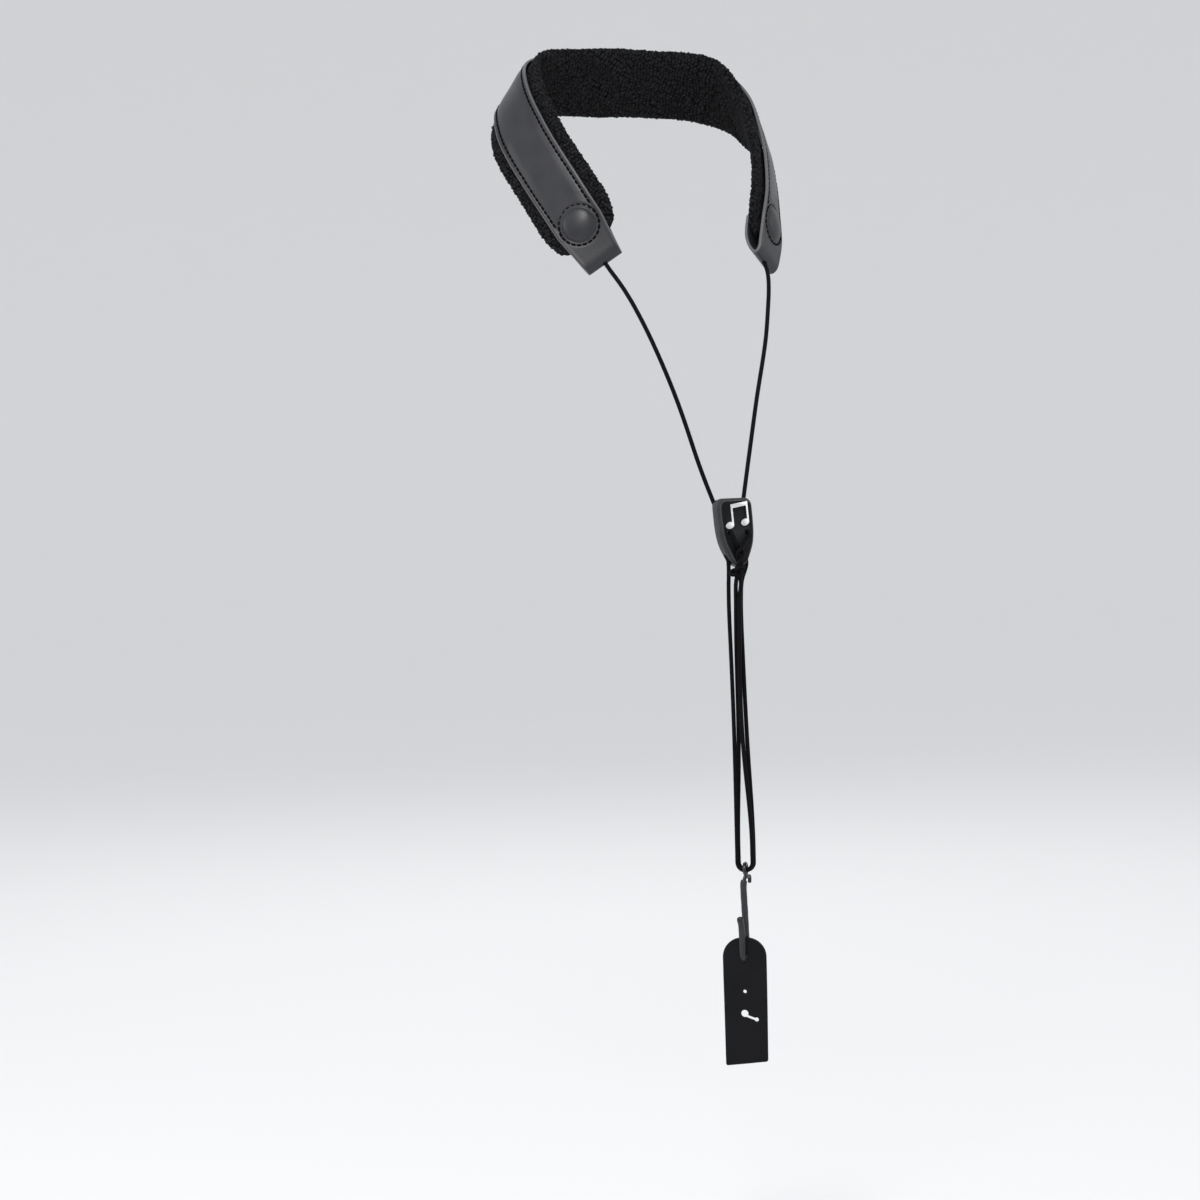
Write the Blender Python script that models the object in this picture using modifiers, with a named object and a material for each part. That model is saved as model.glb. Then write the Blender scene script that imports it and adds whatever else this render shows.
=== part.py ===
"""Neck strap for a clarinet or a light saxophone: padded band, two sliding cords, adjuster, hook and tab.

Frame: metres, +Z up, +X to the wearer's left, -Y forward. The origin lies on the axis of the wearer's
neck, level with the two ends of the band.
"""
import math

import bmesh
import bpy
import numpy as np
from mathutils import Matrix, Vector

COLLECTION = "neck_strap"
CUTTERS = "cutters"
GAP = 0.0003                      # clearance left between pieces that touch

# Neck band: the leather's outer face follows this route from the right end's fold up to the nape
BAND_ROUTE = [
    (0.0562, -0.0386, 0.0000), (0.0672, -0.0272, 0.0232), (0.0775, -0.0105, 0.0508),
    (0.0838, 0.0070, 0.0750), (0.0835, 0.0255, 0.0965), (0.0710, 0.0460, 0.1130),
    (0.0420, 0.0585, 0.1185), (0.0000, 0.0620, 0.1195),
]
# Outward face tips upwards by this many degrees, at each share of the way from an end to the nape
BAND_LEAN = [(0.00, 12), (0.20, 13), (0.33, 18), (0.45, 30), (0.60, 38), (0.80, 36), (1.00, 32)]
LEATHER_THICKNESS = 0.0018
LEATHER_WIDTHS = [(0.000, 0.0240), (0.016, 0.0278), (0.028, 0.0310), (0.060, 0.0320)]
LEATHER_COLUMNS = 2
# Fold at an end of the strap: distance along the band and depth behind its outer face, flap first
FOLD_SECTION = [
    (0.0270, -0.0120), (0.0180, -0.0122), (0.0130, -0.0117), (0.0090, -0.0105), (0.0045, -0.0083),
    (0.0013, -0.0058), (0.0002, -0.0037), (0.0010, -0.0019), (0.0036, -0.0004), (0.0090, 0.0000),
]
BOSS_CENTRE = 0.0285              # distance of each boss from the fold
BOSS_RADIUS = 0.0114
BOSS_HEIGHT = 0.0032
BOSS_SEAM_RADIUS = 0.0123
BOSS_DISC_RADIUS = 0.0092
BOSS_DISC_HEIGHT = 0.0018
PAD_START = 0.0165                # where the pad begins, measured from the fold
PAD_WIDTH = 0.0490
PAD_DEPTH = 0.0072
PAD_TOP = -LEATHER_THICKNESS - 2.4 * GAP
PAD_END_ROUNDING = 0.0120
TERRY_THICKNESS = 0.0015
SEAM_INSET = 0.0029
THREAD_RADIUS = 0.00035

# Cords
CORD_RADIUS = 0.0013
CORD_STEP = 0.0065                # distance between the points of a tube
STOP_KNOT_RADIUS = 0.0026
# Route of the wearer's left cord from its stop knot's hole to the adjuster, mirrored for the right one
UPPER_CORD_ROUTE = [
    (0.0512, -0.0463, -0.0120), (0.0446, -0.0554, -0.0300), (0.0396, -0.0608, -0.0450),
    (0.0342, -0.0647, -0.0610), (0.0280, -0.0681, -0.0800), (0.0223, -0.0711, -0.1000),
    (0.0169, -0.0738, -0.1200),
]

# Adjuster, in its own frame: x across, -y to the front, z up
ADJUSTER_CENTRE = Vector((0.0012, -0.0855, -0.1610))
ADJUSTER_LEAN = math.radians(8.6)
ADJUSTER_HEIGHT = 0.0410
ADJUSTER_DEPTH = 0.0080
ADJUSTER_RIM_DEPTH = 0.0055
ADJUSTER_SIDE = [
    (0.0122, 0.0090), (0.0119, 0.0010), (0.0105, -0.0070), (0.0076, -0.0138), (0.0042, -0.0187),
]
ADJUSTER_CORNER = 0.0046
GUIDE_TOP = Vector((0.0090, 0.0046, 0.0150))
GUIDE_BOTTOM = Vector((0.0060, 0.0012, -0.0176))
GUIDE_BORE_RADIUS = 0.0017
CORD_APPROACH = Vector((0.0024, 0.0004, 0.0080))   # way the cord comes to the guide's top
FRONT_HOLE = Vector((0.0059, -0.0043, -0.0004))
BACK_HOLE = Vector((0.0026, 0.0040, -0.0004))
FRONT_HOLE_RADIUS = 0.0019
TAIL_KNOT_RADIUS = 0.0024
TIE_KNOT_CENTRE = Vector((-0.0040, -0.0960, -0.1836))
TIE_KNOT_SIZE = (0.0056, 0.0031, 0.0038)
# From each front hole down the face to the tie knot: the two strands cross twice on the way
FRONT_STRAND_ROUTES = {
    -1: [(-0.0059, -0.0059, -0.0018), (-0.0050, -0.0062, -0.0048), (-0.0037, -0.0060, -0.0075),
         (-0.0018, -0.0056, -0.0100), (-0.0005, -0.0062, -0.0122), (-0.0008, -0.0080, -0.0144),
         (-0.0028, -0.0091, -0.0165), (-0.0050, -0.0088, -0.0190)],
    1: [(0.0059, -0.0059, -0.0018), (0.0037, -0.0064, -0.0048), (0.0009, -0.0075, -0.0075),
        (-0.0018, -0.0085, -0.0100), (-0.0036, -0.0076, -0.0122), (-0.0038, -0.0061, -0.0144),
        (-0.0023, -0.0055, -0.0166), (-0.0014, -0.0058, -0.0192)],
}
BADGE_THICKNESS = 0.0008

# Hook and tab: the hook's eye hangs on the cords' bights, and the tab hangs in the hook's bend
HOOK_PIVOT = Vector((0.0, -0.0885, -0.3612))
HOOK_TURN = math.radians(-48)
HOOK_WIRE_RADIUS = 0.0011
EYE_RADIUS = 0.0039
SLEEVE_RADIUS = 0.00195
SLEEVE_WALL = 0.0005
SLEEVE_TOP = -0.0065
SHANK_SIDE = -0.0012              # the shank stands a little to one side of the eye
BEND_RADIUS = 0.0037
BEND_CENTRE = (0.0000, -0.0491)   # behind and below the eye's centre
BIGHT_CENTRE = 0.0008
BIGHT_HALF_WIDTH = 0.0047
BIGHT_LEG = 0.0090
BIGHT_SPACING = 0.00137           # half the distance between the two cords in the eye
STRAND_TURN = math.radians(-28)   # the strands above the hook are laid out in axes turned this far
TAB_TURN = math.radians(-38)
TAB_TOP = 0.0127
TAB_BOTTOM = -0.0628
TAB_SLANT = 0.0011                # the bottom edge is cut this much lower and higher at its corners
TAB_HALF_WIDTH = 0.0130
TAB_THICKNESS = 0.0024
TAB_EYELET_RADIUS = 0.0031
TAB_MOUNT_TOP = -0.0400


# ---------------------------------------------------------------- general helpers

def clear_scene():
    for obj in list(bpy.data.objects):
        bpy.data.objects.remove(obj)


def new_collection(name):
    collection = bpy.data.collections.new(name)
    bpy.context.scene.collection.children.link(collection)
    return collection


def new_material(name, colour, roughness, metallic=0.0):
    material = bpy.data.materials.new(name)
    material.use_nodes = True
    shader = material.node_tree.nodes["Principled BSDF"]
    shader.inputs["Base Color"].default_value = (*colour, 1.0)
    shader.inputs["Roughness"].default_value = roughness
    shader.inputs["Metallic"].default_value = metallic
    return material


def add_object(name, data, material, parent=None, collection=COLLECTION):
    """Link new data under a name, keeping its coordinates in the world whatever its parent."""
    obj = bpy.data.objects.new(name, data)
    bpy.data.collections[collection].objects.link(obj)
    if material:
        data.materials.append(material)
    if parent:
        obj.parent = parent
        obj.matrix_parent_inverse = parent.matrix_world.inverted()
    return obj


def add_empty(name, location, turn=0.0, lean=0.0, parent=None):
    empty = bpy.data.objects.new(name, None)
    bpy.data.collections[COLLECTION].objects.link(empty)
    world = Matrix.Translation(location) @ Matrix.Rotation(turn, 4, "Z") @ Matrix.Rotation(-lean, 4, "X")
    if parent:
        empty.parent = parent
        empty.matrix_parent_inverse = parent.matrix_world.inverted()
    empty.matrix_basis = world
    bpy.context.view_layer.update()
    return empty


def mesh_from_bmesh(name, bm, smooth_angle=40):
    bmesh.ops.recalc_face_normals(bm, faces=bm.faces)
    mesh = bpy.data.meshes.new(name)
    bm.to_mesh(mesh)
    bm.free()
    mesh.shade_smooth()
    mesh.set_sharp_from_angle(angle=math.radians(smooth_angle))
    return mesh


def smooth_curve(points, step=None, count=None):
    """Evenly spaced points on the cubic spline through some points."""
    points = np.array([tuple(p) for p in points], float)
    knots = np.r_[0, np.cumsum(np.linalg.norm(np.diff(points, axis=0), axis=1))]
    n, h = len(points), np.diff(knots)
    matrix, right = np.eye(n), np.zeros_like(points)
    for i in range(1, n - 1):
        matrix[i, i - 1:i + 2] = h[i - 1], 2 * (h[i - 1] + h[i]), h[i]
        right[i] = 6 * ((points[i + 1] - points[i]) / h[i] - (points[i] - points[i - 1]) / h[i - 1])
    bend = np.linalg.solve(matrix, right)
    t = np.linspace(0, knots[-1], 40 * n)
    i = np.clip(np.searchsorted(knots, t) - 1, 0, n - 2)
    a, b, w = (knots[i + 1] - t)[:, None], (t - knots[i])[:, None], h[i][:, None]
    fine = (bend[i] * a ** 3 + bend[i + 1] * b ** 3) / (6 * w)
    fine += (points[i] / w - bend[i] * w / 6) * a + (points[i + 1] / w - bend[i + 1] * w / 6) * b
    run = np.r_[0, np.cumsum(np.linalg.norm(np.diff(fine, axis=0), axis=1))]
    count = count or max(3, round(run[-1] / step) + 1)
    even = np.linspace(0, run[-1], count)
    return np.stack([np.interp(even, run, fine[:, k]) for k in range(points.shape[1])], axis=1)


def tube(name, points, radius, material, parent=None, sides=8, capped=True):
    """A round tube along points: a poly curve with a bevel."""
    curve = bpy.data.curves.new(name, "CURVE")
    curve.dimensions = "3D"
    curve.bevel_depth = radius
    curve.bevel_resolution = (sides - 4) // 2
    curve.use_fill_caps = capped
    spline = curve.splines.new("POLY")
    spline.points.add(len(points) - 1)
    for point, place in zip(spline.points, points):
        point.co = (*place, 1.0)
    spline.use_smooth = True
    return add_object(name, curve, material, parent)


def as_mesh(obj, smooth_angle=40):
    """Replace a curve object by its mesh, with the caps joined to the sides."""
    bpy.context.view_layer.update()
    graph = bpy.context.evaluated_depsgraph_get()
    mesh = bpy.data.meshes.new_from_object(obj.evaluated_get(graph))
    bm = bmesh.new()
    bm.from_mesh(mesh)
    bmesh.ops.remove_doubles(bm, verts=bm.verts, dist=1e-6)
    bmesh.ops.dissolve_limit(bm, angle_limit=1e-4, verts=bm.verts, edges=bm.edges)
    bmesh.ops.recalc_face_normals(bm, faces=bm.faces)
    bm.to_mesh(mesh)
    bm.free()
    mesh.shade_smooth()
    mesh.set_sharp_from_angle(angle=math.radians(smooth_angle))
    name, world = obj.name, obj.matrix_world.copy()
    collection, parent = obj.users_collection[0].name, obj.parent
    bpy.data.objects.remove(obj)
    made = add_object(name, mesh, None, parent, collection)
    made.matrix_basis = world
    return made


def plate(name, outline, thickness, material, parent=None, collection=COLLECTION):
    """A flat piece: an outline in the XZ plane, thickened along Y about its middle."""
    curve = bpy.data.curves.new(name, "CURVE")
    curve.dimensions = "2D"
    curve.fill_mode = "BOTH"
    curve.extrude = thickness / 2
    spline = curve.splines.new("POLY")
    spline.points.add(len(outline) - 1)
    for point, (x, z) in zip(spline.points, outline):
        point.co = (x, z, 0.0, 1.0)
    spline.use_cyclic_u = True
    obj = add_object(name, curve, material, parent, collection)
    obj.matrix_basis = Matrix.Rotation(math.radians(90), 4, "X")
    return as_mesh(obj)


def place(obj, parent, offset=(0.0, 0.0, 0.0)):
    """Put an object built in its parent's frame at an offset in that frame."""
    obj.parent = parent
    obj.matrix_parent_inverse = Matrix.Identity(4)
    obj.matrix_basis = Matrix.Translation(offset) @ obj.matrix_basis
    return obj


def hide_cutter(obj):
    obj.hide_render = True
    obj.display_type = "WIRE"
    return obj


def cutter_rod(name, start, end, radius, parent=None, sides=20):
    """A round cutter from one point to another, run a little past both."""
    start, end = Vector(start), Vector(end)
    along = (end - start).normalized()
    bm = bmesh.new()
    bmesh.ops.create_cone(bm, cap_ends=True, segments=sides, radius1=radius, radius2=radius,
                          depth=(end - start).length)
    turn = along.to_track_quat("Z", "Y").to_matrix().to_4x4()
    bmesh.ops.transform(bm, verts=bm.verts, matrix=Matrix.Translation((start + end) / 2) @ turn)
    obj = add_object(name, mesh_from_bmesh(name, bm), None, collection=CUTTERS)
    if parent:
        place(obj, parent)
    return hide_cutter(obj)


def boolean(obj, other, operation="DIFFERENCE"):
    modifier = obj.modifiers.new(f"{operation.lower()}_{other.name}", "BOOLEAN")
    modifier.operation = operation
    modifier.object = other
    return modifier


def knot(name, centre, size, material, parent=None):
    """A tied knot as its outer shape: a ball with a waist where the cord crosses itself."""
    bm = bmesh.new()
    bmesh.ops.create_uvsphere(bm, u_segments=12, v_segments=8, radius=1.0)
    for vert in bm.verts:
        x, y, z = vert.co
        waist = 1.0 - 0.10 * math.cos(3 * math.atan2(y, x)) * (1 - z * z)
        vert.co = Vector((x * waist * size[0], y * waist * size[1], z * size[2]))
    bmesh.ops.translate(bm, verts=bm.verts, vec=centre)
    return add_object(name, mesh_from_bmesh(name, bm, 80), material, parent)


# ---------------------------------------------------------------- neck band

class Band:
    """Frames along the band, from the wearer's right end (-X) over the nape to the left end (+X)."""

    def __init__(self):
        right_end = [(-x, y, z) for x, y, z in BAND_ROUTE]
        self.points = smooth_curve(right_end + BAND_ROUTE[-2::-1], count=900)
        self.run = np.r_[0, np.cumsum(np.linalg.norm(np.diff(self.points, axis=0), axis=1))]
        self.length = self.run[-1]
        self.along = np.gradient(self.points, self.run, axis=0)

    def frame(self, s):
        """Place, direction along, outward and up across the band, s metres from the first fold."""
        s_in = min(max(s, 0.0), self.length)
        place = Vector([np.interp(s_in, self.run, self.points[:, k]) for k in range(3)])
        along = Vector([np.interp(s_in, self.run, self.along[:, k]) for k in range(3)]).normalized()
        share = min(s_in, self.length - s_in) / (self.length / 2)
        lean = math.radians(np.interp(share, *zip(*BAND_LEAN)))
        level = Vector((-along.y, along.x, 0.0)).normalized()
        out = level * math.cos(lean) + along.cross(level) * math.sin(lean)
        return place + along * (s - s_in), along, out, along.cross(out)

    def point(self, s, across, out):
        place, _, outward, up = self.frame(s)
        return place + up * across + outward * out

    def from_end(self, side, distance):
        """Distance along the band of a place measured from one end's fold: side -1 or 1."""
        return distance if side < 0 else self.length - distance


def middle_stations(band):
    """Distances along the band between its two bosses, shared by the strap and the pad."""
    count = 52
    return [BOSS_CENTRE + (band.length - 2 * BOSS_CENTRE) * k / count for k in range(count + 1)]


def strap_stations(band):
    """Distance along and depth of each row of the strap, from one flap's end to the other's."""
    start = FOLD_SECTION + [(0.0165, 0.0), (0.0225, 0.0)]
    middle = [(s, 0.0) for s in middle_stations(band)]
    end = [(band.length - s, depth) for s, depth in reversed(start)]
    return start + middle + end


def make_strap(band, material):
    """Leather strap with both ends folded back behind the pad, as an open surface with a thickness."""
    bm = bmesh.new()
    rows = []
    for s, depth in strap_stations(band):
        from_end = min(s, band.length - s)
        half = np.interp(from_end, *zip(*LEATHER_WIDTHS)) / 2
        row = []
        for column in range(LEATHER_COLUMNS + 1):
            across = half * (2 * column / LEATHER_COLUMNS - 1)
            row.append(bm.verts.new(band.point(s, across, depth)))
        rows.append(row)
    for low, high in zip(rows, rows[1:]):
        for k in range(LEATHER_COLUMNS):
            bm.faces.new((low[k], low[k + 1], high[k + 1], high[k]))
    mesh = bpy.data.meshes.new("leather_strap")
    bm.to_mesh(mesh)
    bm.free()
    strap = add_object("leather_strap", mesh, material)
    shell = strap.modifiers.new("thickness", "SOLIDIFY")
    shell.thickness = LEATHER_THICKNESS
    shell.offset = -1
    shell.use_even_offset = True
    mesh.shade_smooth()
    for side, name in ((-1, "right"), (1, "left")):
        hole, inside = cord_hole(band, side)
        outside = hole + (hole - inside) * 0.7
        boolean(strap, cutter_rod(f"{name}_cord_hole", inside, outside, CORD_RADIUS + 0.0004, sides=16))
        boss = make_dome(f"{name}_boss", band, side, BOSS_RADIUS, BOSS_HEIGHT, LEATHER_THICKNESS / 2)
        hollow = make_dome(f"{name}_boss_hollow", band, side, BOSS_DISC_RADIUS + GAP,
                           BOSS_DISC_HEIGHT + GAP, 2 * LEATHER_THICKNESS)
        boolean(strap, boss, "UNION")
        boolean(strap, hollow)
    return strap


def cord_hole(band, side):
    """Where the cord goes through the fold's outer face, and a point on its way inside the fold."""
    from_end = band.from_end(side, 0.0001)
    return band.point(from_end, 0.0, -0.0028), band.point(band.from_end(side, 0.0046), 0.0, -0.0048)


def make_dome(name, band, side, radius, height, depth, material=None):
    """Dome over the strap's outer face at one end, flat below; a cutter when it has no material."""
    place_, along, out, up = band.frame(band.from_end(side, BOSS_CENTRE))
    bm = bmesh.new()
    bmesh.ops.create_uvsphere(bm, u_segments=24, v_segments=10, radius=1.0)
    for vert in bm.verts:
        if vert.co.z < -0.1:
            vert.co.z = -depth / height
    scale = Matrix.Diagonal((radius, radius, height, 1.0))
    axes = Matrix((along, up, out)).transposed().to_4x4()
    bmesh.ops.transform(bm, verts=bm.verts, matrix=Matrix.Translation(place_) @ axes @ scale)
    mesh = mesh_from_bmesh(name, bm)
    if material:
        return add_object(name, mesh, material)
    return hide_cutter(add_object(name, mesh, None, collection=CUTTERS))


def pad_section(half_width, depth, top, count=12):
    """Rounded flat section of the pad: offsets across and out, anticlockwise."""
    section = []
    for k in range(count):
        angle = 2 * math.pi * (k + 0.5) / count
        c, s = math.cos(angle), math.sin(angle)
        across = half_width * math.copysign(abs(c) ** 0.55, c)
        out = top - depth / 2 + depth / 2 * math.copysign(abs(s) ** 0.6, s)
        section.append((across, out))
    return section


def pad_stations(band, start):
    """Distances along the pad: close together over the rounded ends, wide apart between them."""
    ends = [start + PAD_END_ROUNDING * (1 - math.cos(k * math.pi / 8)) for k in range(4)]
    return ends + middle_stations(band) + [band.length - s for s in reversed(ends)]


def pad_half_width(band, s, start, width):
    """Half width of the pad, drawn in by a quarter round over its ends."""
    inside = min(s, band.length - s) - start
    drawn = max(0.0, 1 - inside / PAD_END_ROUNDING)
    return width / 2 - PAD_END_ROUNDING * 0.75 * (1 - math.sqrt(max(0.0, 1 - drawn ** 2)))


def pad_rings(band, inset):
    start = PAD_START + inset
    rings = []
    for s in pad_stations(band, start):
        half = pad_half_width(band, s, start, PAD_WIDTH - 2 * inset)
        section = pad_section(half, PAD_DEPTH - 2 * inset, PAD_TOP - inset)
        rings.append([band.point(s, across, out) for across, out in section])
    return rings


def loft(name, rings, closed_ends):
    """Skin a row of matching rings."""
    bm = bmesh.new()
    loops = [[bm.verts.new(p) for p in ring] for ring in rings]
    for low, high in zip(loops, loops[1:]):
        for k in range(len(low)):
            following = (k + 1) % len(low)
            bm.faces.new((low[k], low[following], high[following], high[k]))
    if closed_ends:
        bm.faces.new(loops[0])
        bm.faces.new(loops[-1])
    return mesh_from_bmesh(name, bm, 60)


def make_pad(band, terry, foam):
    """Terry sleeve, open at both ends, and the foam strip inside it."""
    sleeve = add_object("terry_sleeve", loft("terry_sleeve", pad_rings(band, 0.0), False), terry)
    shell = sleeve.modifiers.new("thickness", "SOLIDIFY")
    shell.thickness = TERRY_THICKNESS
    shell.offset = -1
    inset = TERRY_THICKNESS + 3 * GAP
    add_object("foam_core", loft("foam_core", pad_rings(band, inset), True), foam)


def make_boss_discs(band, material):
    """Domed stiffening disc under the leather at each end."""
    for side, name in ((-1, "right_boss_disc"), (1, "left_boss_disc")):
        make_dome(name, band, side, BOSS_DISC_RADIUS, BOSS_DISC_HEIGHT, LEATHER_THICKNESS, material)


def make_seams(band, material):
    """Sewing thread: a row near each edge of the strap and a ring round each boss."""
    lift = GAP + THREAD_RADIUS
    start = BOSS_CENTRE + 0.0060
    for name, sign in (("upper_seam_thread", 1), ("lower_seam_thread", -1)):
        count = 58
        route = []
        for k in range(count + 1):
            s = start + (band.length - 2 * start) * k / count
            half = np.interp(min(s, band.length - s), *zip(*LEATHER_WIDTHS)) / 2
            route.append(band.point(s, sign * (half - SEAM_INSET), lift))
        tube(name, route, THREAD_RADIUS, material, sides=4)
    ring_radius = BOSS_SEAM_RADIUS
    steps = 28
    for side, name in ((-1, "right_boss_thread"), (1, "left_boss_thread")):
        route = []
        for k in range(steps):
            angle = 2 * math.pi * (k + 0.5) / steps * 0.985
            s = band.from_end(side, BOSS_CENTRE + ring_radius * math.cos(angle))
            route.append(band.point(s, ring_radius * math.sin(angle), lift + 0.0001))
        tube(name, route, THREAD_RADIUS, material, sides=4)


# ---------------------------------------------------------------- cords

def make_upper_cords(band, material, adjuster_frame):
    """Each cord from its stop knot in the strap's fold down to the top of the adjuster."""
    for side, name in ((-1, "right"), (1, "left")):
        knot_centre = band.point(band.from_end(side, 0.0094), 0.0, -0.0051)
        knot(f"{name}_stop_knot", knot_centre, (STOP_KNOT_RADIUS,) * 3, material)
        hole, inside = cord_hole(band, side)
        top = Vector((side * GUIDE_TOP.x, GUIDE_TOP.y, GUIDE_TOP.z))
        bottom = Vector((side * GUIDE_BOTTOM.x, GUIDE_BOTTOM.y, GUIDE_BOTTOM.z))
        top += (top - bottom).normalized() * (GAP + 0.0001)
        away = hole + (hole - inside) * 1.2
        shift = ADJUSTER_CENTRE.x / ADJUSTER_CENTRE.z
        middle = [Vector((side * x + shift * z, y, z)) for x, y, z in UPPER_CORD_ROUTE]
        route = [inside, hole, away] + middle
        route.append(adjuster_frame.matrix_world @ top)
        tube(f"{name}_upper_cord", smooth_curve(route, CORD_STEP), CORD_RADIUS, material)


def strand_routes():
    """Four strands between the adjuster and the bights, from top to bottom, in millimetres: offsets to
    the side and back from the plumb line through the hook's pivot, in turned axes, and the height."""
    return {
        "right_down_strand": [(-5.1, -0.9, -179.6), (-5.3, -0.8, -190), (-5.1, -0.5, -226),
                              (-4.1, 0.0, -297)],
        "left_down_strand": [(5.6, 4.8, -179.6), (3.4, 4.6, -187), (2.0, 3.6, -197), (2.0, 2.8, -226),
                             (4.0, 1.2, -297)],
        "left_return_strand": [(-1.2, -7.8, -188.4), (-1.7, -4.8, -197), (-1.9, -0.9, -212),
                               (-1.9, 1.0, -226), (-1.9, 2.2, -297)],
        "right_return_strand": [(1.7, -8.2, -188.4), (1.2, -6.2, -197), (0.6, -3.8, -212),
                                (0.3, -2.2, -226), (1.5, -2.4, -297)],
    }


def bight_ends():
    """Where each strand meets its bight, in the hook's frame: side of the eye, and which cord."""
    return {
        "right_down_strand": (-1, -1), "left_return_strand": (-1, 1),
        "left_down_strand": (1, 1), "right_return_strand": (1, -1),
    }


def make_lower_cords(material, adjuster_frame, loop_frame):
    for name, offsets in strand_routes().items():
        turned = [Matrix.Rotation(STRAND_TURN, 3, "Z") @ Vector(p) / 1000 for p in offsets]
        route = [Vector((p.x, p.y + HOOK_PIVOT.y, p.z)) for p in turned]
        side, cord = bight_ends()[name]
        for height in (BIGHT_LEG + 0.007, BIGHT_LEG + GAP):
            local = Vector((BIGHT_CENTRE + side * BIGHT_HALF_WIDTH, cord * BIGHT_SPACING, height))
            route.append(loop_frame.matrix_world @ local)
        tube(name, smooth_curve(route, CORD_STEP), CORD_RADIUS, material, adjuster_frame)
    for name, cord in (("right_cord_bight", -1), ("left_cord_bight", 1)):
        bend = []
        for k in range(13):
            angle = math.pi * k / 12
            bend.append((-math.cos(angle), 1 - math.sin(angle)))
        top = BIGHT_LEG / BIGHT_HALF_WIDTH
        local = [(-1.0, top)] + bend + [(1.0, top)]
        route = []
        for x, z in local:
            x, z = BIGHT_CENTRE + x * BIGHT_HALF_WIDTH, z * BIGHT_HALF_WIDTH
            route.append(loop_frame.matrix_world @ Vector((x, cord * BIGHT_SPACING, z)))
        tube(name, route, CORD_RADIUS, material, loop_frame)


# ---------------------------------------------------------------- adjuster

def shield_outline(inset):
    """Outline of the adjuster: flat top with round corners, sides drawn in to a round foot."""
    top = ADJUSTER_HEIGHT / 2 - inset
    half = ADJUSTER_SIDE[0][0] - inset
    corner = ADJUSTER_CORNER - inset / 2
    arc = []
    for k in range(5):
        angle = math.pi / 2 * (1 - k / 4)
        arc.append((half - corner + corner * math.cos(angle), top - corner + corner * math.sin(angle)))
    side = [(x - inset, z) for x, z in ADJUSTER_SIDE]
    foot = -ADJUSTER_HEIGHT / 2 + inset
    curve = smooth_curve([arc[-1]] + side + [(0.0, foot)], count=12)
    right = arc + [tuple(p) for p in curve[1:-1]]
    return right + [(0.0, foot)] + [(-x, z) for x, z in reversed(right)]


def make_adjuster(plastic, metal, cord, frame):
    body = plate("adjuster_body", shield_outline(0.0), ADJUSTER_RIM_DEPTH, plastic)
    place(body, frame, (0.0, (ADJUSTER_DEPTH - ADJUSTER_RIM_DEPTH) / 2, 0.0))
    edges = body.modifiers.new("edges", "BEVEL")
    edges.width = 0.0009
    edges.segments = 2
    face = plate("adjuster_face", shield_outline(0.0017), ADJUSTER_DEPTH - 0.002, plastic, None, CUTTERS)
    place(face, frame, (0.0, -0.0010, 0.0))
    rounding = face.modifiers.new("edges", "BEVEL")
    rounding.width = 0.0008
    rounding.segments = 2
    hide_cutter(face)
    boolean(body, face, "UNION")
    for sign, name in ((-1, "right"), (1, "left")):
        top, bottom, front, back = (
            Vector((sign * p.x, p.y, p.z)) for p in (GUIDE_TOP, GUIDE_BOTTOM, FRONT_HOLE, BACK_HOLE)
        )
        reach = (top - bottom).normalized() * 0.006
        boolean(body, cutter_rod(f"{name}_guide_bore", bottom - reach, top + reach,
                                 GUIDE_BORE_RADIUS, frame, 16))
        approach = Vector((sign * CORD_APPROACH.x, CORD_APPROACH.y, CORD_APPROACH.z))
        boolean(body, cutter_rod(f"{name}_entry_groove", top - approach * 0.1, top + approach,
                                 GUIDE_BORE_RADIUS + 0.0002, frame, 16))
        reach = (front - back).normalized() * 0.002
        boolean(body, cutter_rod(f"{name}_front_hole", back - reach, front + reach,
                                 FRONT_HOLE_RADIUS, frame, 16))
        to_world = frame.matrix_world
        tube(f"{name}_guide_strand", [to_world @ top, to_world @ bottom], CORD_RADIUS, cord, frame)
        tail = back + Vector((sign * 0.00015, TAIL_KNOT_RADIUS + GAP, 0.0))
        knot(f"{name}_tail_knot", to_world @ tail, (TAIL_KNOT_RADIUS * 0.95,) * 3, cord, frame)
        route = [back + Vector((0.0, -0.0003, 0.0)), (back + front) / 2, front]
        route += FRONT_STRAND_ROUTES[sign]
        route = [to_world @ Vector(p) for p in route]
        tube(f"{name}_front_strand", smooth_curve(route, 0.0026), CORD_RADIUS, cord, frame)
    knot("tie_knot", TIE_KNOT_CENTRE, TIE_KNOT_SIZE, cord, frame)
    make_badge(metal, frame)
    return body


def make_badge(metal, frame):
    """Ornament on the adjuster's face: a pair of beamed notes."""
    front = -ADJUSTER_DEPTH / 2 - GAP - BADGE_THICKNESS / 2
    beam = [(-0.0046, 0.0138), (0.0070, 0.0155), (0.0070, 0.0179), (-0.0046, 0.0162)]
    badge = plate("adjuster_badge", beam, BADGE_THICKNESS, metal)
    place(badge, frame, (0.0, front, 0.0))
    stem = 0.0012
    for k, (x, foot, top) in enumerate(((-0.0046, 0.0038, 0.0150), (0.0058, 0.0054, 0.0165))):
        bar = [(x, foot), (x + stem, foot), (x + stem, top), (x, top)]
        head = []
        for i in range(16):
            angle = 2 * math.pi * i / 16
            u, v = 0.0029 * math.cos(angle), 0.0020 * math.sin(angle)
            head.append((x - 0.0015 + 0.94 * u - 0.34 * v, foot + 0.34 * u + 0.94 * v))
        for shape, outline in (("stem", bar), ("head", head)):
            piece = plate(f"note_{shape}_{k + 1}", outline, BADGE_THICKNESS, metal, None, CUTTERS)
            place(piece, frame, (0.0, front, 0.0))
            hide_cutter(piece)
            boolean(badge, piece, "UNION")


# ---------------------------------------------------------------- hook and tab

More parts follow.
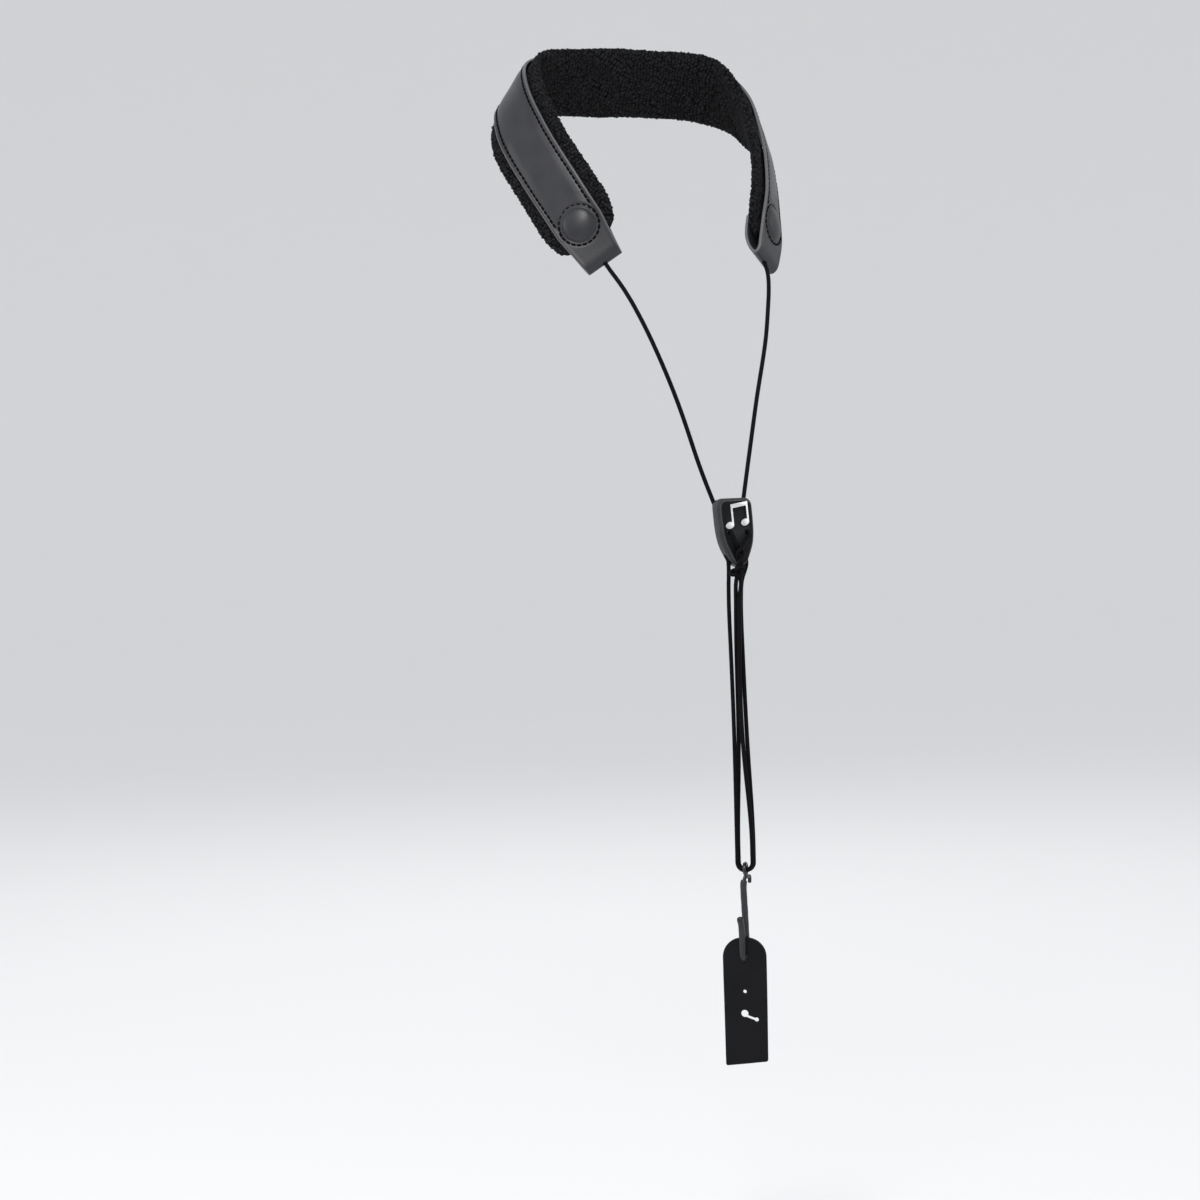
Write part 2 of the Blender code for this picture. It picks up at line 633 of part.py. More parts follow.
def hook_route():
    """Centre line of the hook from the eye's cut end to the tip, in the hook's own frame."""
    tail = [(0.0026, 0.0030, -0.0080), (0.0026, 0.0026, -0.0060)]
    eye = []
    for k in range(15):
        angle = math.radians(-112 + 22.5 * k)
        sideways = 0.0023 * (1 - k / 14) ** 1.5
        eye.append((sideways, -EYE_RADIUS * math.cos(angle), EYE_RADIUS * math.sin(angle)))
    y, z = BEND_CENTRE
    shank = [(SHANK_SIDE * 0.8, 0.0010, -0.0072), (SHANK_SIDE, 0.0009, -0.0120),
             (SHANK_SIDE, 0.0020, -0.0220), (SHANK_SIDE, 0.0034, -0.0360)]
    bend = []
    for k in range(9):
        angle = math.pi * k / 8
        bend.append((SHANK_SIDE, y + BEND_RADIUS * math.cos(angle), z - BEND_RADIUS * math.sin(angle)))
    front = y - BEND_RADIUS
    tip = [(SHANK_SIDE, front - 0.0002, -0.0420), (SHANK_SIDE, front - 0.0007, -0.0350),
           (SHANK_SIDE, front - 0.0019, -0.0310), (SHANK_SIDE, front - 0.0038, -0.0280)]
    return tail + eye + shank + bend + tip


def make_hook(steel, plastic, frame):
    to_world = frame.matrix_world
    whole = smooth_curve([to_world @ Vector(p) for p in hook_route()], 0.0022)
    tube("hook_wire", whole, HOOK_WIRE_RADIUS, steel, frame)
    half = len(whole) // 2
    below_eye = [k for k in range(half) if whole[k][2] > HOOK_PIVOT.z + SLEEVE_TOP][-1]
    sleeve = as_mesh(tube("hook_sleeve", whole[below_eye:], SLEEVE_RADIUS, plastic, capped=False))
    place(sleeve, frame)
    sleeve.matrix_basis = to_world.inverted()
    shell = sleeve.modifiers.new("thickness", "SOLIDIFY")
    shell.thickness = SLEEVE_WALL
    shell.offset = -1


def tab_outline():
    """Outline of the tab: arched top, straight sides that draw in a little, small corners below."""
    half, low_half, corner = TAB_HALF_WIDTH, TAB_HALF_WIDTH - 0.0004, 0.0012
    arch_height = 0.0118
    arch, foot = [], []
    for k in range(10):
        angle = math.pi / 2 * (1 - k / 9)
        across = half * math.cos(angle) ** 0.9 if k else 0.0
        arch.append((across, TAB_TOP - arch_height + arch_height * math.sin(angle)))
    for k in range(4):
        angle = math.pi / 2 * k / 3
        foot.append((low_half - corner + corner * math.cos(angle), corner - corner * math.sin(angle)))
    right = arch + [(half, -0.0100)] + [(x, TAB_BOTTOM + TAB_SLANT + z) for x, z in foot]
    left = arch + [(half, -0.0100)] + [(x, TAB_BOTTOM - TAB_SLANT + z) for x, z in foot]
    return right + [(-x, z) for x, z in reversed(left[1:])]


def make_tab(leather, frame):
    tab = plate("leather_tab", tab_outline(), TAB_THICKNESS, leather)
    bm = bmesh.new()
    bm.from_mesh(tab.data)
    geometry = list(bm.verts) + list(bm.edges) + list(bm.faces)
    upright = tab.matrix_basis.inverted() @ Vector((0.0, 0.0, TAB_MOUNT_TOP))
    normal = tab.matrix_basis.to_3x3().inverted() @ Vector((0.0, 0.0, 1.0))
    bmesh.ops.bisect_plane(bm, geom=geometry, plane_co=upright, plane_no=normal)
    bm.to_mesh(tab.data)
    bm.free()
    place(tab, frame)
    depth = TAB_THICKNESS
    eyelet_height = -(TAB_EYELET_RADIUS - SLEEVE_RADIUS - 0.0009)
    holes = (("hook_eyelet", 0.0, eyelet_height, TAB_EYELET_RADIUS),
             ("small_hole", -0.0003, -0.0197, 0.0011), ("post_hole", -0.0007, -0.0329, 0.0022),
             ("slit_end", 0.0063, -0.0365, 0.0013))
    for name, x, z, radius in holes:
        boolean(tab, cutter_rod(name, (x, -depth, z), (x, depth, z), radius, frame))
    start, end, half = Vector((0.0002, -0.0351)), Vector((0.0063, -0.0365)), 0.0008
    side = (end - start).orthogonal().normalized() * half
    outline = [start + side, end + side, end - side, start - side]
    slit = plate("slit", [tuple(p) for p in outline], 2 * depth, leather, None, CUTTERS)
    place(slit, frame)
    hide_cutter(slit)
    boolean(tab, slit)
    return tab


# ---------------------------------------------------------------- assembly

def main():
    clear_scene()
    new_collection(COLLECTION)
    new_collection(CUTTERS)
    leather = new_material("leather", (0.055, 0.055, 0.060), 0.45)
    tab_leather = new_material("tab_leather", (0.022, 0.022, 0.026), 0.55)
    terry = new_material("terry", (0.006, 0.006, 0.007), 0.95)
    foam = new_material("foam", (0.10, 0.10, 0.10), 0.95)
    board = new_material("board", (0.08, 0.07, 0.06), 0.8)
    thread = new_material("thread", (0.008, 0.008, 0.009), 0.7)
    cord = new_material("cord", (0.010, 0.009, 0.012), 0.6)
    plastic = new_material("plastic", (0.030, 0.032, 0.034), 0.4)
    silver = new_material("silver", (0.80, 0.80, 0.80), 0.25, 1.0)
    steel = new_material("steel", (0.10, 0.10, 0.105), 0.35, 1.0)
    sleeve = new_material("sleeve", (0.055, 0.058, 0.062), 0.4)

    band = Band()
    make_strap(band, leather)
    make_pad(band, terry, foam)
    make_boss_discs(band, board)
    make_seams(band, thread)

    adjuster_frame = add_empty("adjuster_frame", ADJUSTER_CENTRE, lean=ADJUSTER_LEAN)
    loop_frame = add_empty("loop_frame", HOOK_PIVOT, turn=HOOK_TURN, parent=adjuster_frame)
    hook_frame = add_empty("hook_frame", HOOK_PIVOT, turn=HOOK_TURN, parent=loop_frame)
    bottom = hook_frame.matrix_world @ Vector((SHANK_SIDE, BEND_CENTRE[0], BEND_CENTRE[1] - BEND_RADIUS))
    tab_frame = add_empty("tab_frame", bottom, turn=TAB_TURN, parent=hook_frame)

    make_upper_cords(band, cord, adjuster_frame)
    make_adjuster(plastic, silver, cord, adjuster_frame)
    make_lower_cords(cord, adjuster_frame, loop_frame)
    make_hook(steel, sleeve, hook_frame)
    make_tab(tab_leather, tab_frame)
    bpy.context.view_layer.update()


main()
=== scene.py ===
"""Neck strap: leather band on a terry pad, paired cords, adjuster, covered hook and leather tab."""
import math

import bmesh
import bpy
import numpy as np
from mathutils import Matrix, Vector


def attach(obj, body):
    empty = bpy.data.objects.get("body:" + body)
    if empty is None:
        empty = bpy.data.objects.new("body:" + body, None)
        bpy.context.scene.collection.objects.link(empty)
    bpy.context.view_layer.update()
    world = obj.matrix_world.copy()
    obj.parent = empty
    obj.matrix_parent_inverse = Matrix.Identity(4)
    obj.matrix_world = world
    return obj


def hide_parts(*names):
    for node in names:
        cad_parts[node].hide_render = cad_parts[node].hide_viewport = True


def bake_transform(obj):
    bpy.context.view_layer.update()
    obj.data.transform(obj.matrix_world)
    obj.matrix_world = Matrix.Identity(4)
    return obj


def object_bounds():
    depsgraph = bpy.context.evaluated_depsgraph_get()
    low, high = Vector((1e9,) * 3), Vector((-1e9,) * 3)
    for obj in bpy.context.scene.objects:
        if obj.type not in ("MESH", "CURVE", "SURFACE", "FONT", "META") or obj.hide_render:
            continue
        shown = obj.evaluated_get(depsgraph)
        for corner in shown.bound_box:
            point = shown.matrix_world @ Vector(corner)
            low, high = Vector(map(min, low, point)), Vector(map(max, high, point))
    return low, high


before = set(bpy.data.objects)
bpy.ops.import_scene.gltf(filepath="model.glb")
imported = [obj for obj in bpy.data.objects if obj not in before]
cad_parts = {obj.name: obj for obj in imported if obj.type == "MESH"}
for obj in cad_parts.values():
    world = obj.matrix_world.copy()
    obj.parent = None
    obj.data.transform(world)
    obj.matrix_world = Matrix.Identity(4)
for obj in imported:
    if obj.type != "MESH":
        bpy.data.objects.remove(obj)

CAD_BOUNDS = [list(map(float, corner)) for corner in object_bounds()]
MM = 0.001
FLOOR_DROP = 0.12                 # gap between the object's lowest point and the floor

# Neck band, as in the model: outer face from the right end's fold to the nape, and its lean outwards
BAND_ROUTE = [
    (0.0562, -0.0386, 0.0000), (0.0672, -0.0272, 0.0232), (0.0775, -0.0105, 0.0508),
    (0.0838, 0.0070, 0.0750), (0.0835, 0.0255, 0.0965), (0.0710, 0.0460, 0.1130),
    (0.0420, 0.0585, 0.1185), (0.0000, 0.0620, 0.1195),
]
BAND_LEAN = [(0.00, 12), (0.20, 13), (0.33, 18), (0.45, 30), (0.60, 38), (0.80, 36), (1.00, 32)]
LEATHER_THICKNESS = 0.0018
LEATHER_WIDTHS = [(0.000, 0.0240), (0.016, 0.0278), (0.028, 0.0310), (0.060, 0.0320)]
FOLD_SECTION = [
    (0.0270, -0.0120), (0.0180, -0.0122), (0.0130, -0.0117), (0.0090, -0.0105), (0.0045, -0.0083),
    (0.0013, -0.0058), (0.0002, -0.0037), (0.0010, -0.0019), (0.0036, -0.0004), (0.0090, 0.0000),
]
BOSS_CENTRE = 0.0285
BOSS_SEAM_RADIUS = 0.0123
BOSS_DOME_RADIUS = 0.0102
BOSS_DOME_HEIGHT = 0.0029
BOSS_STITCHES = 22
EDGE_ROLL = 0.00055               # radius that rounds the leather's edges
LEATHER_BULGE = 0.00085           # rise of the leather between its seams
SEAM_INSET = 0.0029
SEAM_START = BOSS_CENTRE + 0.0085
SEAM_GROOVE = 0.00042
STITCH_PITCH = 0.0034
STITCH_LENGTH = 0.0031
STITCH_RADIUS = 0.00062
PLAIN_START = 0.0520              # the rows across the leather are evenly spaced from here on
PAD_START = 0.0165
PAD_WIDTH = 0.0490
PAD_DEPTH = 0.0072
PAD_TOP = -0.0025
PAD_END_LENGTH = 0.0270           # the pad draws in over this much of each end
PAD_END_DRAW = 0.0100
PAD_SWELLING = 0.0012
PAD_END_DOME = 0.0030
LOOP_PITCH = 0.0022
LOOP_HEIGHT = 0.0012

# Cords, adjuster, hook and tab, as in the model
CORD_RADIUS = 0.0013
PLAIT_PITCH = 0.0024
UPPER_CORD_ROUTE = [
    (0.0512, -0.0463, -0.0120), (0.0446, -0.0554, -0.0300), (0.0396, -0.0608, -0.0450),
    (0.0342, -0.0647, -0.0610), (0.0280, -0.0681, -0.0800), (0.0223, -0.0711, -0.1000),
    (0.0169, -0.0738, -0.1200),
]
ADJUSTER_CENTRE = Vector((0.0012, -0.0855, -0.1610))
ADJUSTER_LEAN = math.radians(8.6)
ADJUSTER_HEIGHT = 0.0410
ADJUSTER_SIDE = [
    (0.0122, 0.0090), (0.0119, 0.0010), (0.0105, -0.0070), (0.0076, -0.0138), (0.0042, -0.0187),
]
ADJUSTER_CORNER = 0.0046
GUIDE_TOP = Vector((0.0090, 0.0046, 0.0150))
GUIDE_BOTTOM = Vector((0.0060, 0.0012, -0.0176))
CORD_APPROACH = Vector((0.0024, 0.0004, 0.0080))
GUIDE_RADIUS = 0.0017
GUIDE_MOUTH_RADIUS = 0.0019
FRONT_BORE_RADIUS = 0.00165
FRONT_HOLE = Vector((0.0059, -0.0043, -0.0004))
BACK_HOLE = Vector((0.0026, 0.0040, -0.0004))
TAIL_KNOT_RADIUS = 0.0024
TIE_KNOT_CENTRE = Vector((-0.0040, -0.0960, -0.1836))
FRONT_STRAND_ROUTES = {
    -1: [(-0.0059, -0.0059, -0.0018), (-0.0050, -0.0062, -0.0048), (-0.0037, -0.0060, -0.0075),
         (-0.0018, -0.0056, -0.0100), (-0.0005, -0.0062, -0.0122), (-0.0008, -0.0080, -0.0144),
         (-0.0028, -0.0091, -0.0165), (-0.0050, -0.0088, -0.0190)],
    1: [(0.0059, -0.0059, -0.0018), (0.0037, -0.0064, -0.0048), (0.0009, -0.0075, -0.0075),
        (-0.0018, -0.0085, -0.0100), (-0.0036, -0.0076, -0.0122), (-0.0038, -0.0061, -0.0144),
        (-0.0023, -0.0055, -0.0166), (-0.0014, -0.0058, -0.0192)],
}
HOOK_PIVOT = Vector((0.0, -0.0885, -0.3612))
HOOK_TURN = math.radians(-48)
HOOK_WIRE_RADIUS = 0.0011
HOOK_STEP = 0.0004
EYE_RADIUS = 0.0039
SLEEVE_RADIUS = 0.00195
SLEEVE_BORE = 0.00135
SLEEVE_TOP = -0.0065
SHANK_SIDE = -0.0012
BEND_RADIUS = 0.0037
BEND_CENTRE = (0.0000, -0.0491)
BIGHT_CENTRE = 0.0008
BIGHT_HALF_WIDTH = 0.0047
BIGHT_LEG = 0.0090
BIGHT_SPACING = 0.00137
STRAND_TURN = math.radians(-28)
TAB_TURN = math.radians(-38)
TAB_TOP = 0.0127
TAB_BOTTOM = -0.0628
TAB_SLANT = 0.0011
TAB_HALF_WIDTH = 0.0130
TAB_THICKNESS = 0.0024
TAB_EYELET_RADIUS = 0.0021
TAB_EYELET_HEIGHT = 0.0008
TAB_SOFTENING = 0.00035
POST_HOLE_CENTRE = (-0.0007, -0.0329)
POST_HOLE_RADIUS = 0.0022
SLIT_END_CENTRE = (0.0063, -0.0365)
SLIT_END_RADIUS = 0.0013


# ------------------------ camera, stage and light

def make_camera():
    azimuth, elevation, roll = math.radians(-28), math.radians(3), math.radians(1.5)
    back = Vector((math.sin(azimuth) * math.cos(elevation), -math.cos(azimuth) * math.cos(elevation),
                   math.sin(elevation)))
    right = Vector((math.cos(azimuth), math.sin(azimuth), 0.0))
    up = right.cross(-back)
    turned_right = right * math.cos(roll) - up * math.sin(roll)
    turned_up = right * math.sin(roll) + up * math.cos(roll)
    data = bpy.data.cameras.new("camera")
    data.lens = 110
    data.sensor_width = 36
    camera = bpy.data.objects.new("camera", data)
    bpy.context.scene.collection.objects.link(camera)
    axes = Matrix((turned_right, turned_up, back)).transposed().to_4x4()
    camera.matrix_world = Matrix.Translation((-1.0874, -1.9600, -0.0853)) @ axes
    bpy.context.scene.camera = camera
    bpy.context.scene.view_settings.view_transform = "Standard"


def area_light(name, place, target, size, power):
    data = bpy.data.lights.new(name, "AREA")
    data.shape = "DISK"
    data.size = size
    data.energy = power
    lamp = bpy.data.objects.new(name, data)
    bpy.context.scene.collection.objects.link(lamp)
    aim = (Vector(target) - Vector(place)).to_track_quat("-Z", "Y")
    lamp.matrix_world = Matrix.Translation(place) @ aim.to_matrix().to_4x4()


def make_stage():
    """Pale floor that sweeps up all round the object, as one bowl open at the top."""
    profile = [(0.0, 0.0), (2.2, 0.0), (3.4, 0.03), (4.4, 0.20), (5.0, 0.55), (5.3, 1.00), (5.4, 1.55)]
    floor_height = CAD_BOUNDS[0][2] - FLOOR_DROP
    line = smooth_curve([(x, 0.0, z) for x, z in profile], count=40)
    reach = np.maximum(line[:, 0], 0.001)
    turns = full_turn(96)
    grid = np.zeros((len(line), len(turns), 3))
    grid[:, :, 0] = reach[:, None] * np.cos(turns)[None, :]
    grid[:, :, 1] = reach[:, None] * np.sin(turns)[None, :]
    grid[:, :, 2] = line[:, None, 2] + floor_height
    bowl = grid_object("stage_bowl", grid, Look("stage", (0.80, 0.80, 0.80), 0.9).material, capped=False)


def make_lights():
    world = bpy.data.worlds.new("studio")
    bpy.context.scene.world = world
    world.use_nodes = True
    background = world.node_tree.nodes["Background"]
    background.inputs["Color"].default_value = (0.92, 0.94, 0.97, 1.0)
    background.inputs["Strength"].default_value = 0.84
    middle = (0.0, -0.04, -0.17)
    area_light("key_light", (-1.3, -1.5, 1.5), middle, 1.0, 30)
    area_light("fill_light", (1.7, -1.3, 0.5), middle, 1.6, 6)
    area_light("back_light", (0.8, 1.7, 1.1), middle, 1.2, 9)
    area_light("left_light", (-1.9, 0.5, 0.4), middle, 1.2, 6)


# ------------------------ materials

class Look:
    """A Principled material and the nodes that feed it."""

    def __init__(self, name, colour, roughness, metallic=0.0, specular=0.5):
        self.material = bpy.data.materials.new(name)
        self.material.use_nodes = True
        self.tree = self.material.node_tree
        self.shader = self.tree.nodes["Principled BSDF"]
        self.feed("Base Color", colour)
        self.feed("Roughness", roughness)
        self.feed("Metallic", metallic)
        self.feed("Specular IOR Level", specular)

    def put(self, value, socket):
        """Link a value to a socket if it is one itself, and set it if it is a number or a colour."""
        if isinstance(value, bpy.types.NodeSocket):
            self.tree.links.new(value, socket)
        elif socket.type == "RGBA":
            socket.default_value = (*value, 1.0)
        else:
            socket.default_value = value

    def feed(self, name, value):
        self.put(value, self.shader.inputs[name])

    def node(self, kind, **values):
        made = self.tree.nodes.new(kind)
        for key, value in values.items():
            if key in made.inputs:
                made.inputs[key].default_value = value
            else:
                setattr(made, key, value)
        return made

    def texture(self, kind, scale, stretch=(1.0, 1.0, 1.0), **values):
        """A texture in the object's own metres."""
        place = self.node("ShaderNodeTexCoord")
        mapping = self.node("ShaderNodeMapping", Scale=stretch)
        made = self.node(kind, Scale=scale, **values)
        self.put(place.outputs["Object"], mapping.inputs["Vector"])
        self.put(mapping.outputs["Vector"], made.inputs["Vector"])
        return made.outputs

    def noise(self, scale, detail, stretch=(1.0, 1.0, 1.0)):
        return self.texture("ShaderNodeTexNoise", scale, stretch, Detail=detail)["Fac"]

    def ramp(self, factor, low, high):
        """Colour between two colours, over the middle of a noise's range."""
        made = self.node("ShaderNodeValToRGB")
        for element, place, colour in zip(made.color_ramp.elements, (0.3, 0.7), (low, high)):
            element.position = place
            element.color = (*colour, 1.0)
        self.put(factor, made.inputs["Fac"])
        return made.outputs["Color"]

    def spread(self, factor, low, high, start=0.3, end=0.7):
        """Number between two limits, as the factor goes from start to end."""
        made = self.node("ShaderNodeMapRange")
        for name, value in (("From Min", start), ("From Max", end), ("To Min", low), ("To Max", high),
                            ("Value", factor)):
            self.put(value, made.inputs[name])
        return made.outputs["Result"]

    def mix(self, factor, first, second):
        made = self.node("ShaderNodeMix", data_type="RGBA")
        colours = [each for each in made.inputs if each.type == "RGBA"]
        for value, socket in zip((factor, first, second), [made.inputs["Factor"]] + colours):
            self.put(value, socket)
        return [each for each in made.outputs if each.type == "RGBA"][0]

    def bump(self, height, distance, strength=1.0, normal=None):
        made = self.node("ShaderNodeBump", Distance=distance, Strength=strength)
        self.put(height, made.inputs["Height"])
        if normal:
            self.put(normal, made.inputs["Normal"])
        self.feed("Normal", made.outputs["Normal"])
        return made.outputs["Normal"]

    def attribute(self, name):
        return self.node("ShaderNodeAttribute", attribute_name=name).outputs["Fac"]


def scaled(colour, factor):
    return tuple(factor * c for c in colour)


def leather_material(name, colour, edge_colour, roughness, specular, grain, scale):
    """Fine-grained leather: pebbled cells, slow changes of tone, and lighter edges that are partly real wear
    and partly a painted highlight.
    """
    look = Look(name, colour, roughness, specular=specular)
    cloud = look.noise(60.0, 4.0)
    cells = look.texture("ShaderNodeTexVoronoi", scale)["Distance"]
    fine = look.noise(scale * 2.4, 3.0)
    tone = look.ramp(cloud, scaled(colour, 0.78), scaled(colour, 1.18))
    # Edge colour where the edge mask is high: partly real wear, partly a painted highlight.
    look.feed("Base Color", look.mix(look.attribute("wear_and_highlight"), tone, edge_colour))
    look.feed("Roughness", look.spread(cloud, roughness - 0.05, roughness + 0.08))
    first = look.bump(cells, grain, 0.7)
    look.bump(fine, grain * 0.5, 0.5, first)
    return look.material


def raw_edge_material(name, colour):
    """Cut edge of leather or board: fibrous and matt."""
    look = Look(name, colour, 0.75)
    fibres = look.noise(900.0, 5.0, stretch=(1.0, 1.0, 3.0))
    look.feed("Base Color", look.ramp(fibres, scaled(colour, 0.6), scaled(colour, 1.5)))
    look.bump(fibres, 0.00015)
    return look.material


def terry_material():
    """Looped cotton: near black and rough, with a faint sheen; the loops' tops are painted lighter as a
    painted highlight and the hollows between them darker as painted shade.
    """
    look = Look("terry_loops", (0.010, 0.010, 0.011), 0.95, specular=0.05)
    fine = look.noise(2600.0, 3.0)
    cloud = look.noise(300.0, 3.0)
    # Painted shade in the hollows between the loops, painted highlight on the loops' tops.
    dark = look.ramp(cloud, (0.0008, 0.0008, 0.0010), (0.0020, 0.0020, 0.0023))
    tops = look.ramp(fine, (0.010, 0.010, 0.011), (0.034, 0.034, 0.036))
    look.feed("Base Color", look.mix(look.attribute("loop_top_light"), dark, tops))
    look.feed("Sheen Weight", 0.01)
    look.feed("Sheen Roughness", 0.5)
    look.bump(fine, 0.0003, 0.8)
    return look.material


def cord_material():
    """Braided synthetic cord: black with a faint violet cast; the plaits' crowns are painted lighter as a
    painted sheen and the hollows between them darker as painted shade.
    """
    look = Look("braided_cord", (0.010, 0.009, 0.012), 0.55, specular=0.06)
    fibres = look.noise(4000.0, 2.0)
    cloud = look.noise(90.0, 2.0)
    # Painted shade in the hollows between the plaits, painted sheen on their crowns.
    low = look.ramp(cloud, (0.0010, 0.0009, 0.0012), (0.0020, 0.0018, 0.0023))
    high = look.ramp(fibres, (0.003, 0.0027, 0.0035), (0.009, 0.0075, 0.0100))
    look.feed("Base Color", look.mix(look.attribute("plait_crown_light"), low, high))
    look.bump(fibres, 0.00008, 0.7)
    return look.material


def thread_material():
    look = Look("sewing_thread", (0.004, 0.004, 0.0045), 0.6, specular=0.05)
    twist = look.noise(5000.0, 2.0)
    look.feed("Base Color", look.ramp(twist, (0.0008, 0.0008, 0.0008), (0.003, 0.003, 0.0033)))
    look.bump(twist, 0.00008)
    return look.material


def plastic_material():
    """Moulded plastic: fine spark texture, darker and duller on the face, with a painted highlight along its
    sharp edges.
    """
    look = Look("moulded_plastic", (0.030, 0.032, 0.034), 0.42, specular=0.28)
    spark = look.noise(2200.0, 4.0)
    cloud = look.noise(160.0, 3.0)
    # Painted highlight: sharp edges, found by pointiness, painted lighter.
    edges = look.node("ShaderNodeNewGeometry").outputs["Pointiness"]
    painted_edge_highlight = look.spread(edges, 0.0, 0.7, 0.52, 0.62)
    face = look.ramp(cloud, (0.0035, 0.0037, 0.0042), (0.007, 0.0074, 0.0082))
    rim = look.ramp(cloud, (0.018, 0.019, 0.0205), (0.028, 0.0295, 0.0315))
    tone = look.mix(look.attribute("rim"), face, rim)
    look.feed("Base Color", look.mix(painted_edge_highlight, tone, (0.045, 0.047, 0.050)))
    look.feed("Roughness", look.spread(cloud, 0.36, 0.50))
    look.feed("Specular IOR Level", look.spread(look.attribute("rim"), 0.10, 0.40))
    look.bump(spark, 0.00012, 0.7)
    return look.material


def silver_material():
    look = Look("plated_ornament", (0.86, 0.86, 0.85), 0.22, 1.0)
    brushed = look.noise(1200.0, 4.0, stretch=(1.0, 1.0, 6.0))
    look.feed("Base Color", look.ramp(brushed, (0.60, 0.60, 0.60), (0.84, 0.84, 0.83)))
    look.feed("Roughness", look.spread(brushed, 0.22, 0.38))
    look.bump(brushed, 0.00002, 0.4)
    return look.material


def steel_material():
    look = Look("hook_steel", (0.20, 0.20, 0.21), 0.24, 1.0)
    marks = look.noise(900.0, 5.0)
    look.feed("Base Color", look.ramp(marks, (0.02, 0.02, 0.022), (0.09, 0.09, 0.095)))
    look.feed("Roughness", look.spread(marks, 0.16, 0.36))
    look.bump(marks, 0.00004, 0.5)
    return look.material


def sleeve_material():
    """Soft dark tubing with faint drawing lines along it."""
    look = Look("sleeve_tubing", (0.050, 0.053, 0.056), 0.38, specular=0.35)
    lines = look.noise(1500.0, 3.0, stretch=(1.0, 1.0, 0.1))
    cloud = look.noise(220.0, 3.0)
    look.feed("Base Color", look.ramp(cloud, (0.012, 0.013, 0.0142), (0.024, 0.0256, 0.0275)))
    look.feed("Roughness", look.spread(lines, 0.30, 0.46))
    look.bump(lines, 0.00004, 0.6)
    return look.material


# ------------------------ curves, grids and tubes

def distances(line):
    """Distance of each point from the first, along a line of points."""
    return np.r_[0, np.cumsum(np.linalg.norm(np.diff(line, axis=0), axis=1))]


def sample(line, run, places):
    """Values of a line of points at some distances along it."""
    return np.stack([np.interp(places, run, line[:, k]) for k in range(line.shape[1])], axis=-1)


def smooth_curve(points, step=None, count=None):
    """Evenly spaced points on the cubic spline through some points."""
    points = np.array([tuple(p) for p in points], float)
    knots = distances(points)
    n, h = len(points), np.diff(knots)
    matrix, right = np.eye(n), np.zeros_like(points)
    for i in range(1, n - 1):
        matrix[i, i - 1:i + 2] = h[i - 1], 2 * (h[i - 1] + h[i]), h[i]
        right[i] = 6 * ((points[i + 1] - points[i]) / h[i] - (points[i] - points[i - 1]) / h[i - 1])
    bend = np.linalg.solve(matrix, right)
    t = np.linspace(0, knots[-1], 60 * n)
    i = np.clip(np.searchsorted(knots, t) - 1, 0, n - 2)
    a, b, w = (knots[i + 1] - t)[:, None], (t - knots[i])[:, None], h[i][:, None]
    fine = (bend[i] * a ** 3 + bend[i + 1] * b ** 3) / (6 * w)
    fine += (points[i] / w - bend[i] * w / 6) * a + (points[i + 1] / w - bend[i + 1] * w / 6) * b
    run = distances(fine)
    count = count or max(3, round(run[-1] / step) + 1)
    return sample(fine, run, np.linspace(0, run[-1], count))


def unit(vectors):
    return vectors / np.maximum(np.linalg.norm(vectors, axis=-1, keepdims=True), 1e-12)


def full_turn(steps):
    return np.linspace(0, 2 * math.pi, steps, endpoint=False)


def smoothstep(value, low, high):
    t = np.clip((value - low) / (high - low), 0, 1)
    return t * t * (3 - 2 * t)


def path_frames(line):
    """Tangent and two steady sideways directions along a line of points."""
    tangent = unit(np.gradient(line, axis=0))
    side = np.zeros_like(line)
    first = np.cross(tangent[0], (0.0, 0.0, 1.0))
    if np.linalg.norm(first) < 0.1:
        first = np.cross(tangent[0], (1.0, 0.0, 0.0))
    side[0] = first / np.linalg.norm(first)
    for k in range(1, len(line)):
        across = side[k - 1] - tangent[k] * side[k - 1].dot(tangent[k])
        side[k] = across / np.linalg.norm(across)
    return tangent, side, np.cross(tangent, side)


def new_object(name, mesh, *materials):
    made = bpy.data.objects.new(name, mesh)
    bpy.context.scene.collection.objects.link(made)
    for each in materials:
        mesh.materials.append(each)
    return made


def grid_faces(rows, columns, around):
    """Quads between neighbouring rows of a grid of points, the columns joined into rings or not."""
    row = np.arange(rows - 1)[:, None]
    column = np.arange(columns if around else columns - 1)[None, :]
    following = (column + 1) % columns
    quads = np.stack([row * columns + column, row * columns + following,
                      (row + 1) * columns + following, (row + 1) * columns + column], axis=-1)
    return quads.reshape(-1, 4)


def grid_object(name, grid, mat, around=True, capped=True, loop=False, values=None, sharp=50):
    """Object skinned over rings of points. Capped closes both ends, loop joins the last ring to the first."""
    rows, columns = grid.shape[:2]
    faces = grid_faces(rows, columns, around).tolist()
    if loop:
        last = (rows - 1) * columns
        for k in range(columns):
            following = (k + 1) % columns
            faces.append([last + k, last + following, following, k])
    elif capped:
        faces.append(list(range(columns))[::-1])
        faces.append(list(range((rows - 1) * columns, rows * columns)))
    mesh = bpy.data.meshes.new(name)
    mesh.from_pydata(grid.reshape(-1, 3).tolist(), [], faces)
    bm = bmesh.new()
    bm.from_mesh(mesh)
    bmesh.ops.recalc_face_normals(bm, faces=bm.faces)
    bm.to_mesh(mesh)
    bm.free()
    mesh.shade_smooth()
    mesh.set_sharp_from_angle(angle=math.radians(sharp))
    for key, value in (values or {}).items():
        layer = mesh.attributes.new(key, "FLOAT", "POINT")
        layer.data.foreach_set("value", np.asarray(value, np.float32).ravel())
    return new_object(name, mesh, mat)


